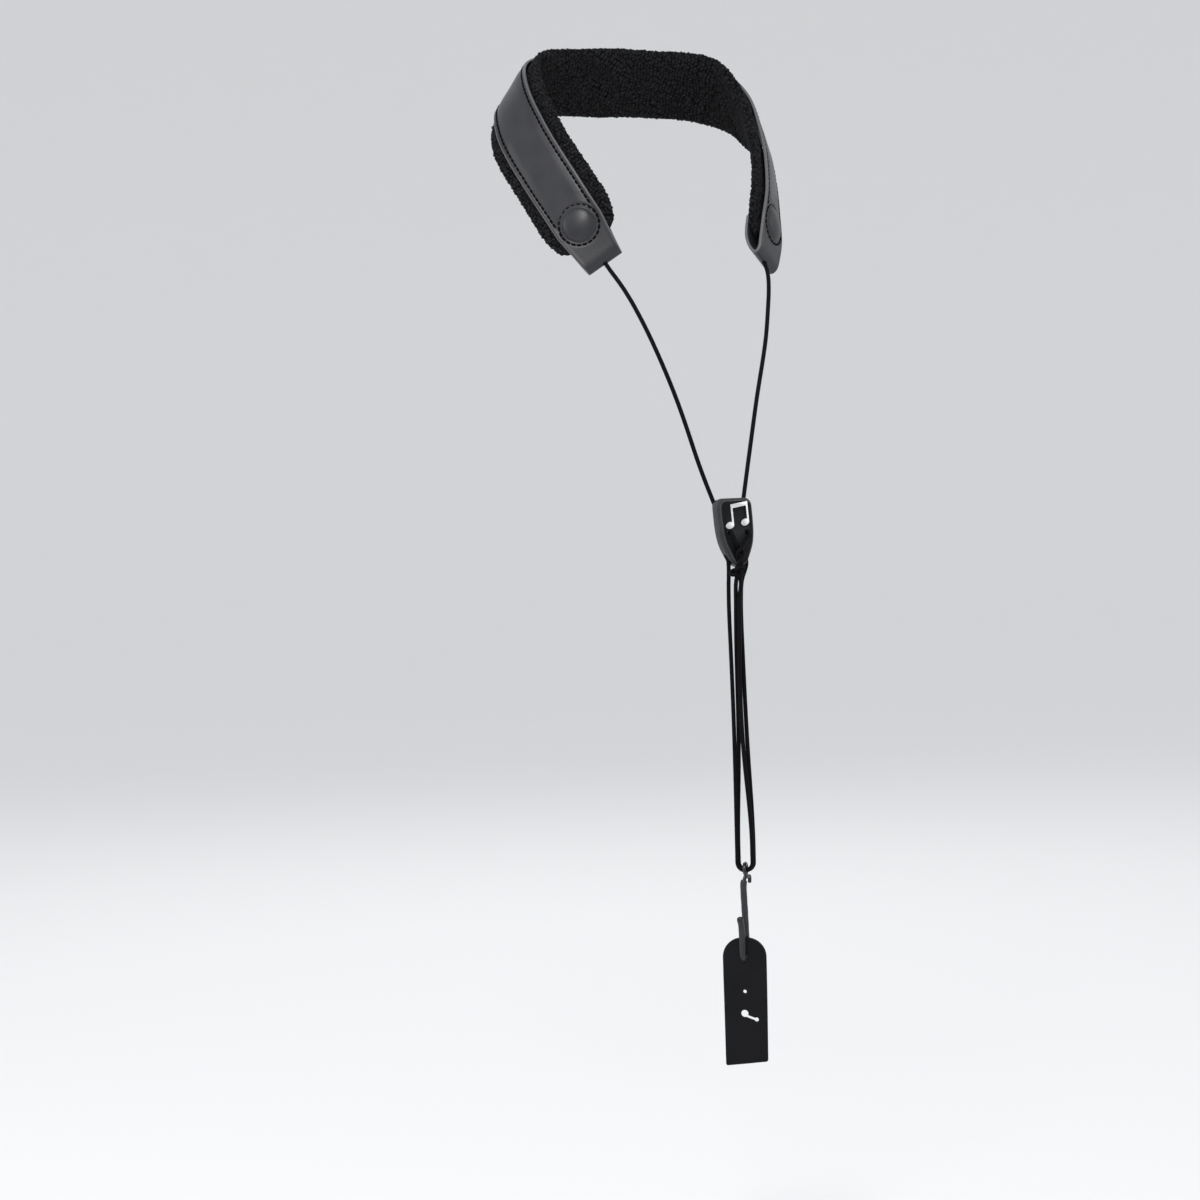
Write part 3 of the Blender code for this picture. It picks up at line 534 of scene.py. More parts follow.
def rings(line, reach, sides):
    """Rings of points round a line, with one reach for each ring or for each of its points."""
    _, side, other = path_frames(line)
    turn = full_turn(sides)
    ring = np.cos(turn)[None, :, None] * side[:, None] + np.sin(turn)[None, :, None] * other[:, None]
    return line[:, None] + ring * np.reshape(reach, (len(line), -1, 1))


def braid(name, line, mat, radius=CORD_RADIUS, taper=False):
    """Braided cord along a line: two families of plaits that pass over and under each other."""
    sides = 16
    run = distances(line)
    turn = full_turn(sides)
    phase = 2 * math.pi * run / PLAIT_PITCH
    relief = np.cos(4 * turn[None, :] + phase[:, None]) * np.cos(4 * turn[None, :] - phase[:, None])
    reach = radius * (0.97 + 0.06 * relief)
    if taper:
        ends = np.minimum(run, run[-1] - run) / radius
        reach *= np.sqrt(1 - (1 - np.clip(ends, 0, 1)) ** 2 * 0.75)[:, None]
    # The plait mask also carries the cord's painted sheen on the crowns and painted shade in the hollows.
    return grid_object(name, rings(line, reach, sides), mat, values={"plait_crown_light": 0.5 + 0.5 * relief}, sharp=80)


# ------------------------ neck band

class Band:
    """The band's own chart: distance along it, distance across it, and height over its outer face."""

    def __init__(self):
        right_end = [(-x, y, z) for x, y, z in BAND_ROUTE]
        self.points = smooth_curve(right_end + BAND_ROUTE[-2::-1], count=900)
        self.run = distances(self.points)
        self.length = self.run[-1]
        self.along = np.gradient(self.points, self.run, axis=0)

    def place(self, s, across, height):
        """Points in space for arrays of distances along, across and over the outer face."""
        s, across, height = np.broadcast_arrays(s, across, height)
        inside = np.clip(s, 0, self.length)
        spot = sample(self.points, self.run, inside)
        along = unit(sample(self.along, self.run, inside))
        share = np.minimum(inside, self.length - inside) / (self.length / 2)
        lean = np.radians(np.interp(share, *zip(*BAND_LEAN)))[..., None]
        level = unit(np.stack([-along[..., 1], along[..., 0], np.zeros_like(inside)], axis=-1))
        out = level * np.cos(lean) + np.cross(along, level) * np.sin(lean)
        up = np.cross(along, out)
        return spot + along * (s - inside)[..., None] + up * across[..., None] + out * height[..., None]

    def end_distance(self, s):
        return np.minimum(s, self.length - s)


def half_width(band, s):
    return np.interp(band.end_distance(s), *zip(*LEATHER_WIDTHS)) / 2


def rolled_edge(inset):
    """Height of a rounded edge, at some distances in from it."""
    return -EDGE_ROLL * (1 - np.sqrt(1 - np.clip(1 - inset / EDGE_ROLL, 0, 1) ** 2))


def leather_relief(band, s, across, inset):
    """Height of the leather's face over the model's: rolled edges, seam grooves, crown and bosses."""
    from_end = band.end_distance(s)
    sewn = smoothstep(from_end, 0.024, 0.038)
    height = rolled_edge(inset)
    height += 0.00016 * np.exp(-((inset - 0.0013) / 0.0007) ** 2)
    height -= sewn * SEAM_GROOVE * np.exp(-((inset - SEAM_INSET) / 0.00055) ** 2)
    crown = 1 - np.exp(-(np.clip(inset - SEAM_INSET, 0, 1) / 0.0030) ** 2)
    waves = 0.8 + 0.12 * np.sin(s * 88 + 0.7) + 0.08 * np.sin(s * 213 + across * 90)
    height += sewn * LEATHER_BULGE * crown * waves
    from_boss = np.hypot(from_end - BOSS_CENTRE, across)
    near_end = (from_end < 0.06)
    dome = near_end * np.clip(1 - (from_boss / BOSS_DOME_RADIUS) ** 2, 0, 1) ** 0.6
    height = height * (1 - dome) + BOSS_DOME_HEIGHT * dome
    crease = np.exp(-((from_boss - BOSS_DOME_RADIUS - 0.0004) / 0.0008) ** 2)
    ring = np.exp(-((from_boss - BOSS_SEAM_RADIUS) / 0.00055) ** 2)
    return height - near_end * (0.00040 * crease + 0.00045 * ring)


def end_rows(band):
    """Distances and depths along the strap, from one flap's end over the band to the other's."""
    start = FOLD_SECTION + [(s, 0.0) for s in (0.0165, 0.0225, 0.0300, 0.0400, PLAIN_START)]
    head = smooth_curve([(s, 0.0, d) for s, d in start], step=0.0007)[:, (0, 2)]
    middle = np.linspace(PLAIN_START, band.length - PLAIN_START, 240)[1:-1]
    tail = head[::-1] * (-1, 1) + (band.length, 0)
    return np.concatenate([head, np.stack([middle, np.zeros_like(middle)], axis=1), tail])


def make_leather(band, mat, thread):
    rows = end_rows(band)
    tangent = unit(np.gradient(rows, axis=0))
    normal = np.stack([-tangent[:, 1], tangent[:, 0]], axis=1)
    on_top = (rows[:, 1] > -0.0010) & (tangent[:, 0] > 0.8)
    half = half_width(band, rows[:, :1])
    near = np.array([0, 0.12, 0.30, 0.55, 0.9, 1.3, 1.8, 2.2, 2.5, 2.9, 3.3, 3.7, 4.3, 5.1]) * MM
    inner = np.linspace(0, 1, 21)[1:]
    one_side = np.concatenate([half - near, (half - near[-1]) * (1 - inner)], axis=1)
    across = np.concatenate([one_side, -one_side[:, -2::-1]], axis=1)
    inset = half - np.abs(across)
    relief = leather_relief(band, np.repeat(rows[:, :1], across.shape[1], axis=1), across, inset)
    face = np.where(on_top[:, None], relief, rolled_edge(inset))
    # Edge mask: the face's strip along each edge is partly worn and partly a painted highlight; the cut walls
    # take the full edge colour and the back a little of it.
    wear_and_highlight = np.clip(1.15 - inset / 0.0009, 0, 1) * 0.85
    back_across = np.linspace(-1, 1, 11)[None, :] * (half - 0.0004)
    back = np.full(back_across.shape, -LEATHER_THICKNESS)
    wall = np.ones((len(rows), 2))
    wall_heights = np.array([-0.0010, 0.0003 - LEATHER_THICKNESS])
    across_all = np.concatenate([across, -half * wall, back_across, half * wall], axis=1)
    height_all = np.concatenate([face, wall * wall_heights, back, wall * wall_heights[::-1]], axis=1)
    wear_and_highlight_all = np.concatenate([wear_and_highlight, wall, np.full(back.shape, 0.3), wall], axis=1)
    s_all = rows[:, :1] + normal[:, :1] * height_all
    out_all = rows[:, 1:] + normal[:, 1:] * height_all
    grid = band.place(s_all, across_all, out_all)
    strap = grid_object("leather_band", grid, mat, values={"wear_and_highlight": wear_and_highlight_all}, sharp=70)
    for side in (-1, 1):
        hole, inside = cord_hole(band, side)
        cut(strap, [rod(inside, hole + (hole - inside) * 0.7, CORD_RADIUS + 0.0003)])
    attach(strap, "neck_band")
    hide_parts("leather_strap")
    make_stitches(band, thread)


def cord_hole(band, side):
    """Where the cord leaves the fold, and a point on its way inside it, as in the model."""
    near, far = (0.0001, 0.0046) if side < 0 else (band.length - 0.0001, band.length - 0.0046)
    return band.place(near, 0.0, -0.0028), band.place(far, 0.0, -0.0048)


def stitch_mesh(name, band, stitches, mat):
    """Separate stitches, each dipping into the leather at its ends: (distance, across, angle, height)."""
    t = np.linspace(-1, 1, 9)
    turn = full_turn(8)
    sag = -0.00060 * t ** 6
    reach = STITCH_RADIUS * (1 - 0.55 * np.abs(t) ** 5)
    along = np.repeat(t[:, None] * STITCH_LENGTH / 2, len(turn), axis=1)
    side = reach[:, None] * np.cos(turn)[None, :] * (1 + 0.10 * np.cos(6 * t)[:, None])
    lift = sag[:, None] + reach[:, None] * np.sin(turn)[None, :] * 0.85
    verts, faces = [], []
    quads = grid_faces(len(t), len(turn), True)
    for s, across, angle, height in stitches:
        c, sn = math.cos(angle), math.sin(angle)
        spots = band.place(s + along * c - side * sn, across + along * sn + side * c, height + lift)
        base = len(verts)
        verts += spots.reshape(-1, 3).tolist()
        faces += (quads + base).tolist()
        faces.append([base + k for k in range(len(turn))][::-1])
        faces.append([base + (len(t) - 1) * len(turn) + k for k in range(len(turn))])
    mesh = bpy.data.meshes.new(name)
    mesh.from_pydata(verts, [], faces)
    mesh.shade_smooth()
    made = new_object(name, mesh, mat)
    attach(made, "neck_band")
    return made


def make_stitches(band, mat):
    span = band.length - 2 * SEAM_START
    count = round(span / STITCH_PITCH)
    for name, sign in (("upper", 1), ("lower", -1)):
        stitches = []
        for k in range(count + 1):
            s = SEAM_START + span * k / count
            wander = 0.00008 * math.sin(k * 2.7)
            across = sign * (half_width(band, s) - SEAM_INSET + wander)
            stitches.append((s, across, 0.05 * math.sin(k * 1.9), -0.00005))
        made = stitch_mesh(f"{name}_seam_stitches", band, stitches, mat)
        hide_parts(f"{name}_seam_thread")
    for side, name in ((-1, "right"), (1, "left")):
        centre = BOSS_CENTRE if side < 0 else band.length - BOSS_CENTRE
        stitches = []
        for k in range(BOSS_STITCHES):
            angle = 2 * math.pi * k / BOSS_STITCHES
            stitches.append((centre + BOSS_SEAM_RADIUS * math.cos(angle),
                             BOSS_SEAM_RADIUS * math.sin(angle), angle + math.pi / 2, -0.00002))
        made = stitch_mesh(f"{name}_boss_stitches", band, stitches, mat)
        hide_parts(f"{name}_boss_thread")


def pad_grid(band, rows, columns, inset):
    """Rings of the pad's plain shape under its loops, with its ends drawn in."""
    start = PAD_START + inset
    share = np.linspace(0, 1, rows)
    s = start + (band.length - 2 * start) * share
    drawn = np.clip(1 - (band.end_distance(s) - start) / PAD_END_LENGTH, 0, 1)
    half = PAD_WIDTH / 2 - inset / 3 - PAD_END_DRAW * (1 - np.sqrt(1 - drawn ** 2))
    depth = PAD_DEPTH - 2 * inset
    c, sn = (wave(np.linspace(0, 2 * math.pi, 1441)) for wave in (np.cos, np.sin))
    section = np.stack([np.sign(c) * np.abs(c) ** 0.55, np.sign(sn) * np.abs(sn) ** 0.6])
    steps = np.hypot(np.diff(section[0]) * PAD_WIDTH, np.diff(section[1]) * depth)
    girth = np.r_[0, np.cumsum(steps)]
    even = girth[-1] * (np.arange(columns) + 0.5) / columns
    across = half[:, None] * np.interp(even, girth, section[0])[None, :]
    height = PAD_TOP - inset - depth / 2 + depth / 2 * np.interp(even, girth, section[1])
    return s, across, np.repeat(height[None, :], rows, axis=0)


def inflate(grid, pinned, cap):
    """Let a closed padded tube swell under pressure from its plain shape, no point moving past a cap."""
    rows, columns = grid.shape[:2]
    shape = grid_object("pad_swelling", grid, None, capped=True)
    group = shape.vertex_groups.new(name="pinned")
    group.add([int(k) for k in np.flatnonzero(pinned.ravel())], 1.0, "REPLACE")
    cloth = shape.modifiers.new("swell", "CLOTH")
    settings = cloth.settings
    settings.quality = 6
    settings.mass = 0.15
    settings.tension_stiffness = settings.compression_stiffness = 12
    settings.shear_stiffness = 6
    settings.bending_stiffness = 0.6
    settings.use_pressure = True
    settings.uniform_pressure_force = 4
    settings.vertex_group_mass = "pinned"
    settings.effector_weights.gravity = 0
    cloth.collision_settings.use_collision = False
    scene = bpy.context.scene
    first = scene.frame_current
    for step in range(1, 21):
        scene.frame_set(step)
    graph = bpy.context.evaluated_depsgraph_get()
    swollen = shape.evaluated_get(graph).data
    result = np.empty(len(swollen.vertices) * 3)
    swollen.vertices.foreach_get("co", result)
    scene.frame_set(first)
    bpy.data.objects.remove(shape)
    moved = result.reshape(rows, columns, 3) - grid
    size = np.linalg.norm(moved, axis=-1, keepdims=True)
    return grid + moved * np.minimum(1, cap / np.maximum(size, 1e-9))


def refine(grid, factor, around):
    """Catmull-Rom points between the rows of a grid."""
    if around:
        padded = np.concatenate([grid[-1:], grid, grid[:2]])
        spans = len(grid)
    else:
        padded = np.concatenate([2 * grid[:1] - grid[1:2], grid, 2 * grid[-1:] - grid[-2:-1]])
        spans = len(grid) - 1
    t = np.arange(spans * factor + (0 if around else 1)) / factor
    k = np.minimum(t.astype(int), spans - 1)
    f = (t - k).reshape(-1, *([1] * (grid.ndim - 1)))
    a, b, c, d = padded[k], padded[k + 1], padded[k + 2], padded[k + 3]
    return 0.5 * (2 * b + (c - a) * f + (2 * a - 5 * b + 4 * c - d) * f ** 2
                  + (3 * b - a - 3 * c + d) * f ** 3)


def make_terry(band, mat):
    """Padded terry sleeve: swollen between the leather's seams, covered with rows of cotton loops."""
    s, across, height = pad_grid(band, 150, 40, LOOP_HEIGHT)
    grid = band.place(s[:, None], across, height)
    under_strap = (np.abs(across) < 0.0135) & (height > PAD_TOP - 0.002)
    grid = inflate(grid, under_strap, PAD_SWELLING)
    fine = refine(grid, 4, False)
    fine = refine(fine.swapaxes(0, 1), 4, True).swapaxes(0, 1)
    centre = fine.mean(axis=1, keepdims=True)
    caps = []
    for end, following in ((0, 1), (-1, -2)):
        outwards = unit(centre[end, 0] - centre[following, 0])
        rings = []
        for k in range(1, 9):
            angle = math.pi / 2 * k / 8.5
            rings.append(centre[end] + (fine[end] - centre[end]) * math.cos(angle)
                         + outwards * PAD_END_DOME * math.sin(angle))
        caps.append(np.array(rings))
    fine = np.concatenate([caps[0][::-1], fine, caps[1]])
    along = np.gradient(fine, axis=0)
    round_ = (np.roll(fine, -1, axis=1) - np.roll(fine, 1, axis=1)) / 2
    normal = unit(np.cross(round_, along))
    outward = fine - fine.mean(axis=1, keepdims=True)
    normal *= np.sign((normal * outward).sum(axis=-1).mean())
    run = np.cumsum(np.linalg.norm(along.mean(axis=1), axis=-1))[:, None]
    middle = fine.shape[0] // 2
    girth = np.cumsum(np.linalg.norm(round_[middle], axis=-1))[None, :]
    drift = 0.35 * np.sin(girth * 310 + 1.7 * np.sin(run * 131)) + 0.25 * np.sin(run * 190 + girth * 260)
    row_place = run / LOOP_PITCH + drift
    row_number = np.floor(row_place + 0.5)
    column_place = girth / LOOP_PITCH + 0.5 * np.mod(row_number, 2) + 0.8 * drift
    column_number = np.floor(column_place + 0.5)
    chance = [np.modf(np.abs(np.sin(row_number * a + column_number * b) * 437.585))[0]
              for a, b in ((78.233, 37.719), (12.989, 91.17), (41.37, 63.71))]
    off_row = row_place - row_number - 0.36 * (chance[1] - 0.5)
    off_column = column_place - column_number - 0.36 * (chance[2] - 0.5)
    bumps = np.clip(1 - (off_row ** 2 + off_column ** 2) / 0.30, 0, 1) ** 0.7 * (0.50 + 0.50 * chance[0])
    fine = fine + normal * (LOOP_HEIGHT * bumps - 0.0002)[..., None]
    # The loop-top mask carries the painted highlight on the loops and the painted shade between them.
    pad = grid_object("terry_pad", fine, mat, values={"loop_top_light": np.clip(bumps * 1.25, 0, 1)}, sharp=80)
    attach(pad, "neck_band")
    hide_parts("terry_sleeve", "foam_core")


# ------------------------ cutting tools

def rod(start, end, radius):
    """A temporary round cutter between two points."""
    start, end = Vector(start), Vector(end)
    bm = bmesh.new()
    bmesh.ops.create_cone(bm, cap_ends=True, segments=32, radius1=radius, radius2=radius,
                          depth=(end - start).length)
    turn = (end - start).to_track_quat("Z", "Y").to_matrix().to_4x4()
    bmesh.ops.transform(bm, verts=bm.verts, matrix=Matrix.Translation((start + end) / 2) @ turn)
    mesh = bpy.data.meshes.new("cutter")
    bm.to_mesh(mesh)
    bm.free()
    return new_object("cutter", mesh)


def cut(obj, cutters):
    """Take cutters out of an object and leave a plain mesh."""
    for each in cutters:
        modifier = obj.modifiers.new("cut", "BOOLEAN")
        modifier.operation = "DIFFERENCE"
        modifier.object = each
    apply_modifiers(obj)
    for each in cutters:
        bpy.data.objects.remove(each)


def apply_modifiers(obj):
    bpy.context.view_layer.update()
    graph = bpy.context.evaluated_depsgraph_get()
    mesh = bpy.data.meshes.new_from_object(obj.evaluated_get(graph), preserve_all_data_layers=True,
                                           depsgraph=graph)
    obj.modifiers.clear()
    obj.data = mesh


# ------------------------ cords and knots

ADJUSTER = Matrix.Translation(ADJUSTER_CENTRE) @ Matrix.Rotation(-ADJUSTER_LEAN, 4, "X")
LOOP = Matrix.Translation(HOOK_PIVOT) @ Matrix.Rotation(HOOK_TURN, 4, "Z")


def mirrored(point, side):
    return Vector((side * point[0], point[1], point[2]))


def declare_cord(piece, line, node):
    """A cord stretched between two bodies: its placement is baked into its mesh and the model's part is
    hidden.
    """
    tuple(line[0])
    tuple(line[-1])
    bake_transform(piece)
    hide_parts(node)
    tuple(line[0])
    float(distances(line)[-1])


def riding_cord(name, line, mat, body, node, **shape):
    """A stretch of cord that rides on one body."""
    piece = braid(name, line, mat, **shape)
    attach(piece, body)
    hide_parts(node)


def make_upper_cords(band, mat):
    for side, name in ((-1, "right"), (1, "left")):
        hole, inside = (Vector(p) for p in cord_hole(band, side))
        top = mirrored(GUIDE_TOP, side)
        top += (top - mirrored(GUIDE_BOTTOM, side)).normalized() * 0.0004
        shift = ADJUSTER_CENTRE.x / ADJUSTER_CENTRE.z
        route = [inside, hole, hole + (hole - inside) * 1.2]
        route += [Vector((side * x + shift * z, y, z)) for x, y, z in UPPER_CORD_ROUTE]
        route.append(ADJUSTER @ top)
        line = smooth_curve(route, step=0.0005)
        piece = braid(f"{name}_neck_cord", line, mat)
        declare_cord(piece, line, f"{name}_upper_cord")


def strand_lines():
    """The four strands between the adjuster and the hook's loop, in millimetres from the plumb line."""
    routes = {
        "right_down": (-1, -1, [(-5.1, -0.9, -179.6), (-5.3, -0.8, -190), (-5.1, -0.5, -226),
                                (-4.1, 0.0, -297)]),
        "left_down": (1, 1, [(5.6, 4.8, -179.6), (3.4, 4.6, -187), (2.0, 3.6, -197), (2.0, 2.8, -226),
                             (4.0, 1.2, -297)]),
        "left_return": (-1, 1, [(-1.0, -7.8, -188.4), (-1.4, -4.8, -197), (-1.5, -0.9, -212),
                                (-1.6, 1.0, -226), (-1.8, 2.2, -297)]),
        "right_return": (1, -1, [(1.5, -8.2, -188.4), (0.9, -6.2, -197), (0.4, -3.8, -212),
                                 (0.2, -2.2, -226), (1.5, -2.4, -297)]),
    }
    for name, (side, cord, offsets) in routes.items():
        turned = [Matrix.Rotation(STRAND_TURN, 3, "Z") @ (Vector(p) * MM) for p in offsets]
        route = [Vector((p.x, p.y + HOOK_PIVOT.y, p.z)) for p in turned]
        if name.endswith("return"):
            route.insert(0, TIE_KNOT_CENTRE.lerp(route[0], 0.35))
        else:
            route.insert(0, ADJUSTER @ mirrored(GUIDE_BOTTOM + Vector((0.0001, 0.0001, 0.0008)), side))
        for height in (BIGHT_LEG + 0.007, BIGHT_LEG - 0.0004):
            local = Vector((BIGHT_CENTRE + side * BIGHT_HALF_WIDTH, cord * BIGHT_SPACING, height))
            route.append(LOOP @ local)
        yield name, smooth_curve(route, step=0.0005)


def make_lower_cords(mat):
    for name, line in strand_lines():
        piece = braid(f"{name}_cord", line, mat)
        declare_cord(piece, line, f"{name}_strand")
    for name, cord in (("right", -1), ("left", 1)):
        half, turn = BIGHT_HALF_WIDTH, np.linspace(0, math.pi, 60)
        arc = np.stack([-np.cos(turn), 1 - np.sin(turn)], axis=1) * half
        leg = np.linspace(BIGHT_LEG, half, 12)[:-1]
        points = np.concatenate([np.stack([np.full_like(leg, -half), leg], axis=1), arc,
                                 np.stack([np.full_like(leg, half), leg[::-1]], axis=1)])
        line = np.array([LOOP @ Vector((BIGHT_CENTRE + x, cord * BIGHT_SPACING, z)) for x, z in points])
        riding_cord(f"{name}_bight", line, mat, "cord_loop", f"{name}_cord_bight")


def overhand_knot(name, centre, size, turn, mat, body, node):
    """A tied overhand knot pulled tight: one cord that passes through its own loop."""
    t = np.linspace(0.35, 2 * math.pi + 0.15, 130)
    x, y, z = np.sin(t) + 2 * np.sin(2 * t), np.cos(t) - 2 * np.cos(2 * t), -np.sin(3 * t)
    points = np.stack([x / 3.0 * size[0], y / 3.0 * size[1], z * size[2]], axis=1)
    turned = np.array([turn @ Vector(p) for p in points]) + np.array(centre)
    riding_cord(name, smooth_curve(turned[::3], step=0.0005), mat, body, node,
                radius=CORD_RADIUS * 0.96, taper=True)


def make_knots(band, mat):
    tilt = ADJUSTER.to_3x3()
    for side, name in ((-1, "right"), (1, "left")):
        s = 0.0094 if side < 0 else band.length - 0.0094
        centre = band.place(s, 0.0, -0.0051)
        upright = Matrix.Rotation(side * 0.6, 3, "Y") @ Matrix.Rotation(math.radians(90), 3, "X")
        overhand_knot(f"{name}_end_knot", centre, (0.0021, 0.0021, 0.0011), upright, mat, "neck_band",
                      f"{name}_stop_knot")
        back = mirrored(BACK_HOLE, side) + Vector((side * 0.00015, TAIL_KNOT_RADIUS + 0.0003, 0.0))
        turn = tilt @ Matrix.Rotation(math.radians(90), 3, "X") @ Matrix.Rotation(side * 0.5, 3, "Z")
        overhand_knot(f"{name}_back_knot", ADJUSTER @ back, (0.0013, 0.0013, 0.0009), turn, mat,
                      "adjuster", f"{name}_tail_knot")
    face_on = Matrix.Rotation(math.radians(-28), 3, "Z") @ Matrix.Rotation(math.radians(90), 3, "X")
    turn = face_on @ Matrix.Rotation(math.radians(28), 3, "Z")
    overhand_knot("front_tie_knot", TIE_KNOT_CENTRE, (0.0046, 0.0027, 0.0015), turn, mat, "adjuster",
                  "tie_knot")


# ------------------------ adjuster

def shield_outline(inset):
    """Outline of the adjuster at an inset, from the middle of its top clockwise."""
    top = ADJUSTER_HEIGHT / 2 - inset
    half = ADJUSTER_SIDE[0][0] - inset
    corner = ADJUSTER_CORNER - inset / 2
    turn = np.radians(90 * (1 - np.arange(9) / 8))
    arc = np.stack([half - corner + corner * np.cos(turn), top - corner + corner * np.sin(turn)], axis=1)
    side = np.array(ADJUSTER_SIDE) - (inset, 0)
    foot = np.array([[0.0, -ADJUSTER_HEIGHT / 2 + inset]])
    lower = smooth_curve([(x, 0, z) for x, z in np.concatenate([arc[-1:], side, foot])], count=60)[:, (0, 2)]
    half_line = np.concatenate([[[0.0, top]], arc, lower[1:]])
    run = distances(half_line)
    right = sample(half_line, run, np.linspace(0, run[-1], 56))
    return np.concatenate([right, right[-2:0:-1] * (-1, 1)])


def make_adjuster(plastic, silver, cord):
    layers = [(4.00, 1.3), (4.00, 0.75), (3.90, 0.40), (3.62, 0.12), (3.30, 0.0), (-0.60, 0.0),
              (-0.95, 0.10), (-1.25, 0.38), (-1.42, 0.80), (-1.50, 1.30), (-1.62, 1.62), (-1.95, 1.78),
              (-3.10, 1.86), (-3.45, 1.98), (-3.75, 2.22), (-3.93, 2.60), (-4.00, 3.10)]
    grid = []
    for depth, inset in layers:
        grid.append([ADJUSTER @ Vector((x, depth * MM, z)) for x, z in shield_outline(inset * MM)])
    rim = np.array([[float(depth > -3.5)] for depth, inset in layers])
    body = grid_object("adjuster_shell", np.array(grid), plastic, sharp=35,
                       values={"rim": np.repeat(rim, len(grid[0]), axis=1)})
    cutters = []
    for side in (-1, 1):
        top, bottom, front, back, approach = (
            mirrored(p, side) for p in (GUIDE_TOP, GUIDE_BOTTOM, FRONT_HOLE, BACK_HOLE, CORD_APPROACH))
        reach = (top - bottom).normalized() * 0.006
        through = (front - back).normalized() * 0.002
        cutters += [rod(ADJUSTER @ (bottom - reach), ADJUSTER @ (top + reach), GUIDE_RADIUS),
                    rod(ADJUSTER @ (top - approach * 0.1), ADJUSTER @ (top + approach), GUIDE_MOUTH_RADIUS),
                    rod(ADJUSTER @ (back - through), ADJUSTER @ (front + through), FRONT_BORE_RADIUS)]
    cut(body, cutters)
    body.data.set_sharp_from_angle(angle=math.radians(35))
    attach(body, "adjuster")
    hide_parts("adjuster_body")
    for side, name in ((-1, "right"), (1, "left")):
        front, back = mirrored(FRONT_HOLE, side), mirrored(BACK_HOLE, side)
        route = [back + Vector((0.0, -0.0003, 0.0)), (back + front) / 2, front]
        route += [Vector(p) for p in FRONT_STRAND_ROUTES[side]]
        into_knot = TIE_KNOT_CENTRE + Vector((side * 0.0012, 0.0, 0.0010))
        line = smooth_curve([ADJUSTER @ p for p in route] + [into_knot], step=0.0004)
        riding_cord(f"{name}_face_cord", line, cord, "adjuster", f"{name}_front_strand")
        top, bottom = mirrored(GUIDE_TOP, side), mirrored(GUIDE_BOTTOM, side)
        line = np.array([ADJUSTER @ top.lerp(bottom, t) for t in np.linspace(0, 1.02, 60)])
        riding_cord(f"{name}_bore_cord", line, cord, "adjuster", f"{name}_guide_strand")
    make_ornament(silver)


def make_ornament(silver):
    """Beamed notes with softened edges, from the model's own plate."""
    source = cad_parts["adjuster_badge"]
    mesh = source.data.copy()
    mesh.materials.clear()
    mesh.transform(source.matrix_world)
    badge = new_object("note_ornament", mesh, silver)
    welded = badge.modifiers.new("weld", "WELD")
    welded.merge_threshold = 0.00001
    edges = badge.modifiers.new("edges", "BEVEL")
    edges.width = 0.00018
    edges.segments = 3
    edges.limit_method = "ANGLE"
    edges.angle_limit = math.radians(50)
    apply_modifiers(badge)
    badge.data.shade_smooth()
    badge.data.set_sharp_from_angle(angle=math.radians(30))
    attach(badge, "adjuster")
    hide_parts("adjuster_badge")


# ------------------------ hook and tab

def hook_line():
    """Centre line of the hook from the eye's cut end to the tip, as in the model."""
    tail = [(0.0020, 0.0029, -0.0078), (0.0022, 0.0026, -0.0060)]
    eye = []
    for k in range(15):
        angle = math.radians(-112 + 22.5 * k)
        sideways = 0.0023 * (1 - k / 14) ** 1.5
        eye.append((sideways, -EYE_RADIUS * math.cos(angle), EYE_RADIUS * math.sin(angle)))
    y, z = BEND_CENTRE
    shank = [(SHANK_SIDE * 0.8, 0.0010, -0.0072), (SHANK_SIDE, 0.0009, -0.0120),
             (SHANK_SIDE, 0.0020, -0.0220), (SHANK_SIDE, 0.0034, -0.0360)]
    bend = []
    for k in range(9):
        angle = math.pi * k / 8
        bend.append((SHANK_SIDE, y + BEND_RADIUS * math.cos(angle), z - BEND_RADIUS * math.sin(angle)))
    front = y - BEND_RADIUS
    tip = [(SHANK_SIDE, front - 0.0002, -0.0420), (SHANK_SIDE, front - 0.0007, -0.0350),
           (SHANK_SIDE, front - 0.0019, -0.0310), (SHANK_SIDE, front - 0.0038, -0.0280)]
    return smooth_curve([LOOP @ Vector(p) for p in tail + eye + shank + bend + tip], step=HOOK_STEP)


def make_hook(steel, tubing):
    line = hook_line()
    ends = np.ones(len(line))
    ends[[0, -1]] = 0
    wire = grid_object("hook_core", rings(line, HOOK_WIRE_RADIUS * (0.78 + 0.22 * ends), 20), steel, sharp=60)
    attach(wire, "hook")
    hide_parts("hook_wire")
    half = len(line) // 2
    start = np.flatnonzero(line[:half, 2] > HOOK_PIVOT.z + SLEEVE_TOP)[-1]
    covered = line[start:]
    number = np.arange(len(covered))
    outer = SLEEVE_RADIUS + 0.00004 * np.sin(number * 0.31)
    lip = np.clip(np.minimum(number, number[::-1]) / 2, 0, 1)
    outside = rings(covered, outer - 0.00022 * (1 - lip), 28)
    inside = rings(covered, SLEEVE_BORE + 0.00015 * (1 - lip), 28)[::-1]
    sleeve = grid_object("hook_tubing", np.concatenate([outside, inside]), tubing, loop=True, sharp=60)
    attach(sleeve, "hook")
    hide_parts("hook_sleeve")


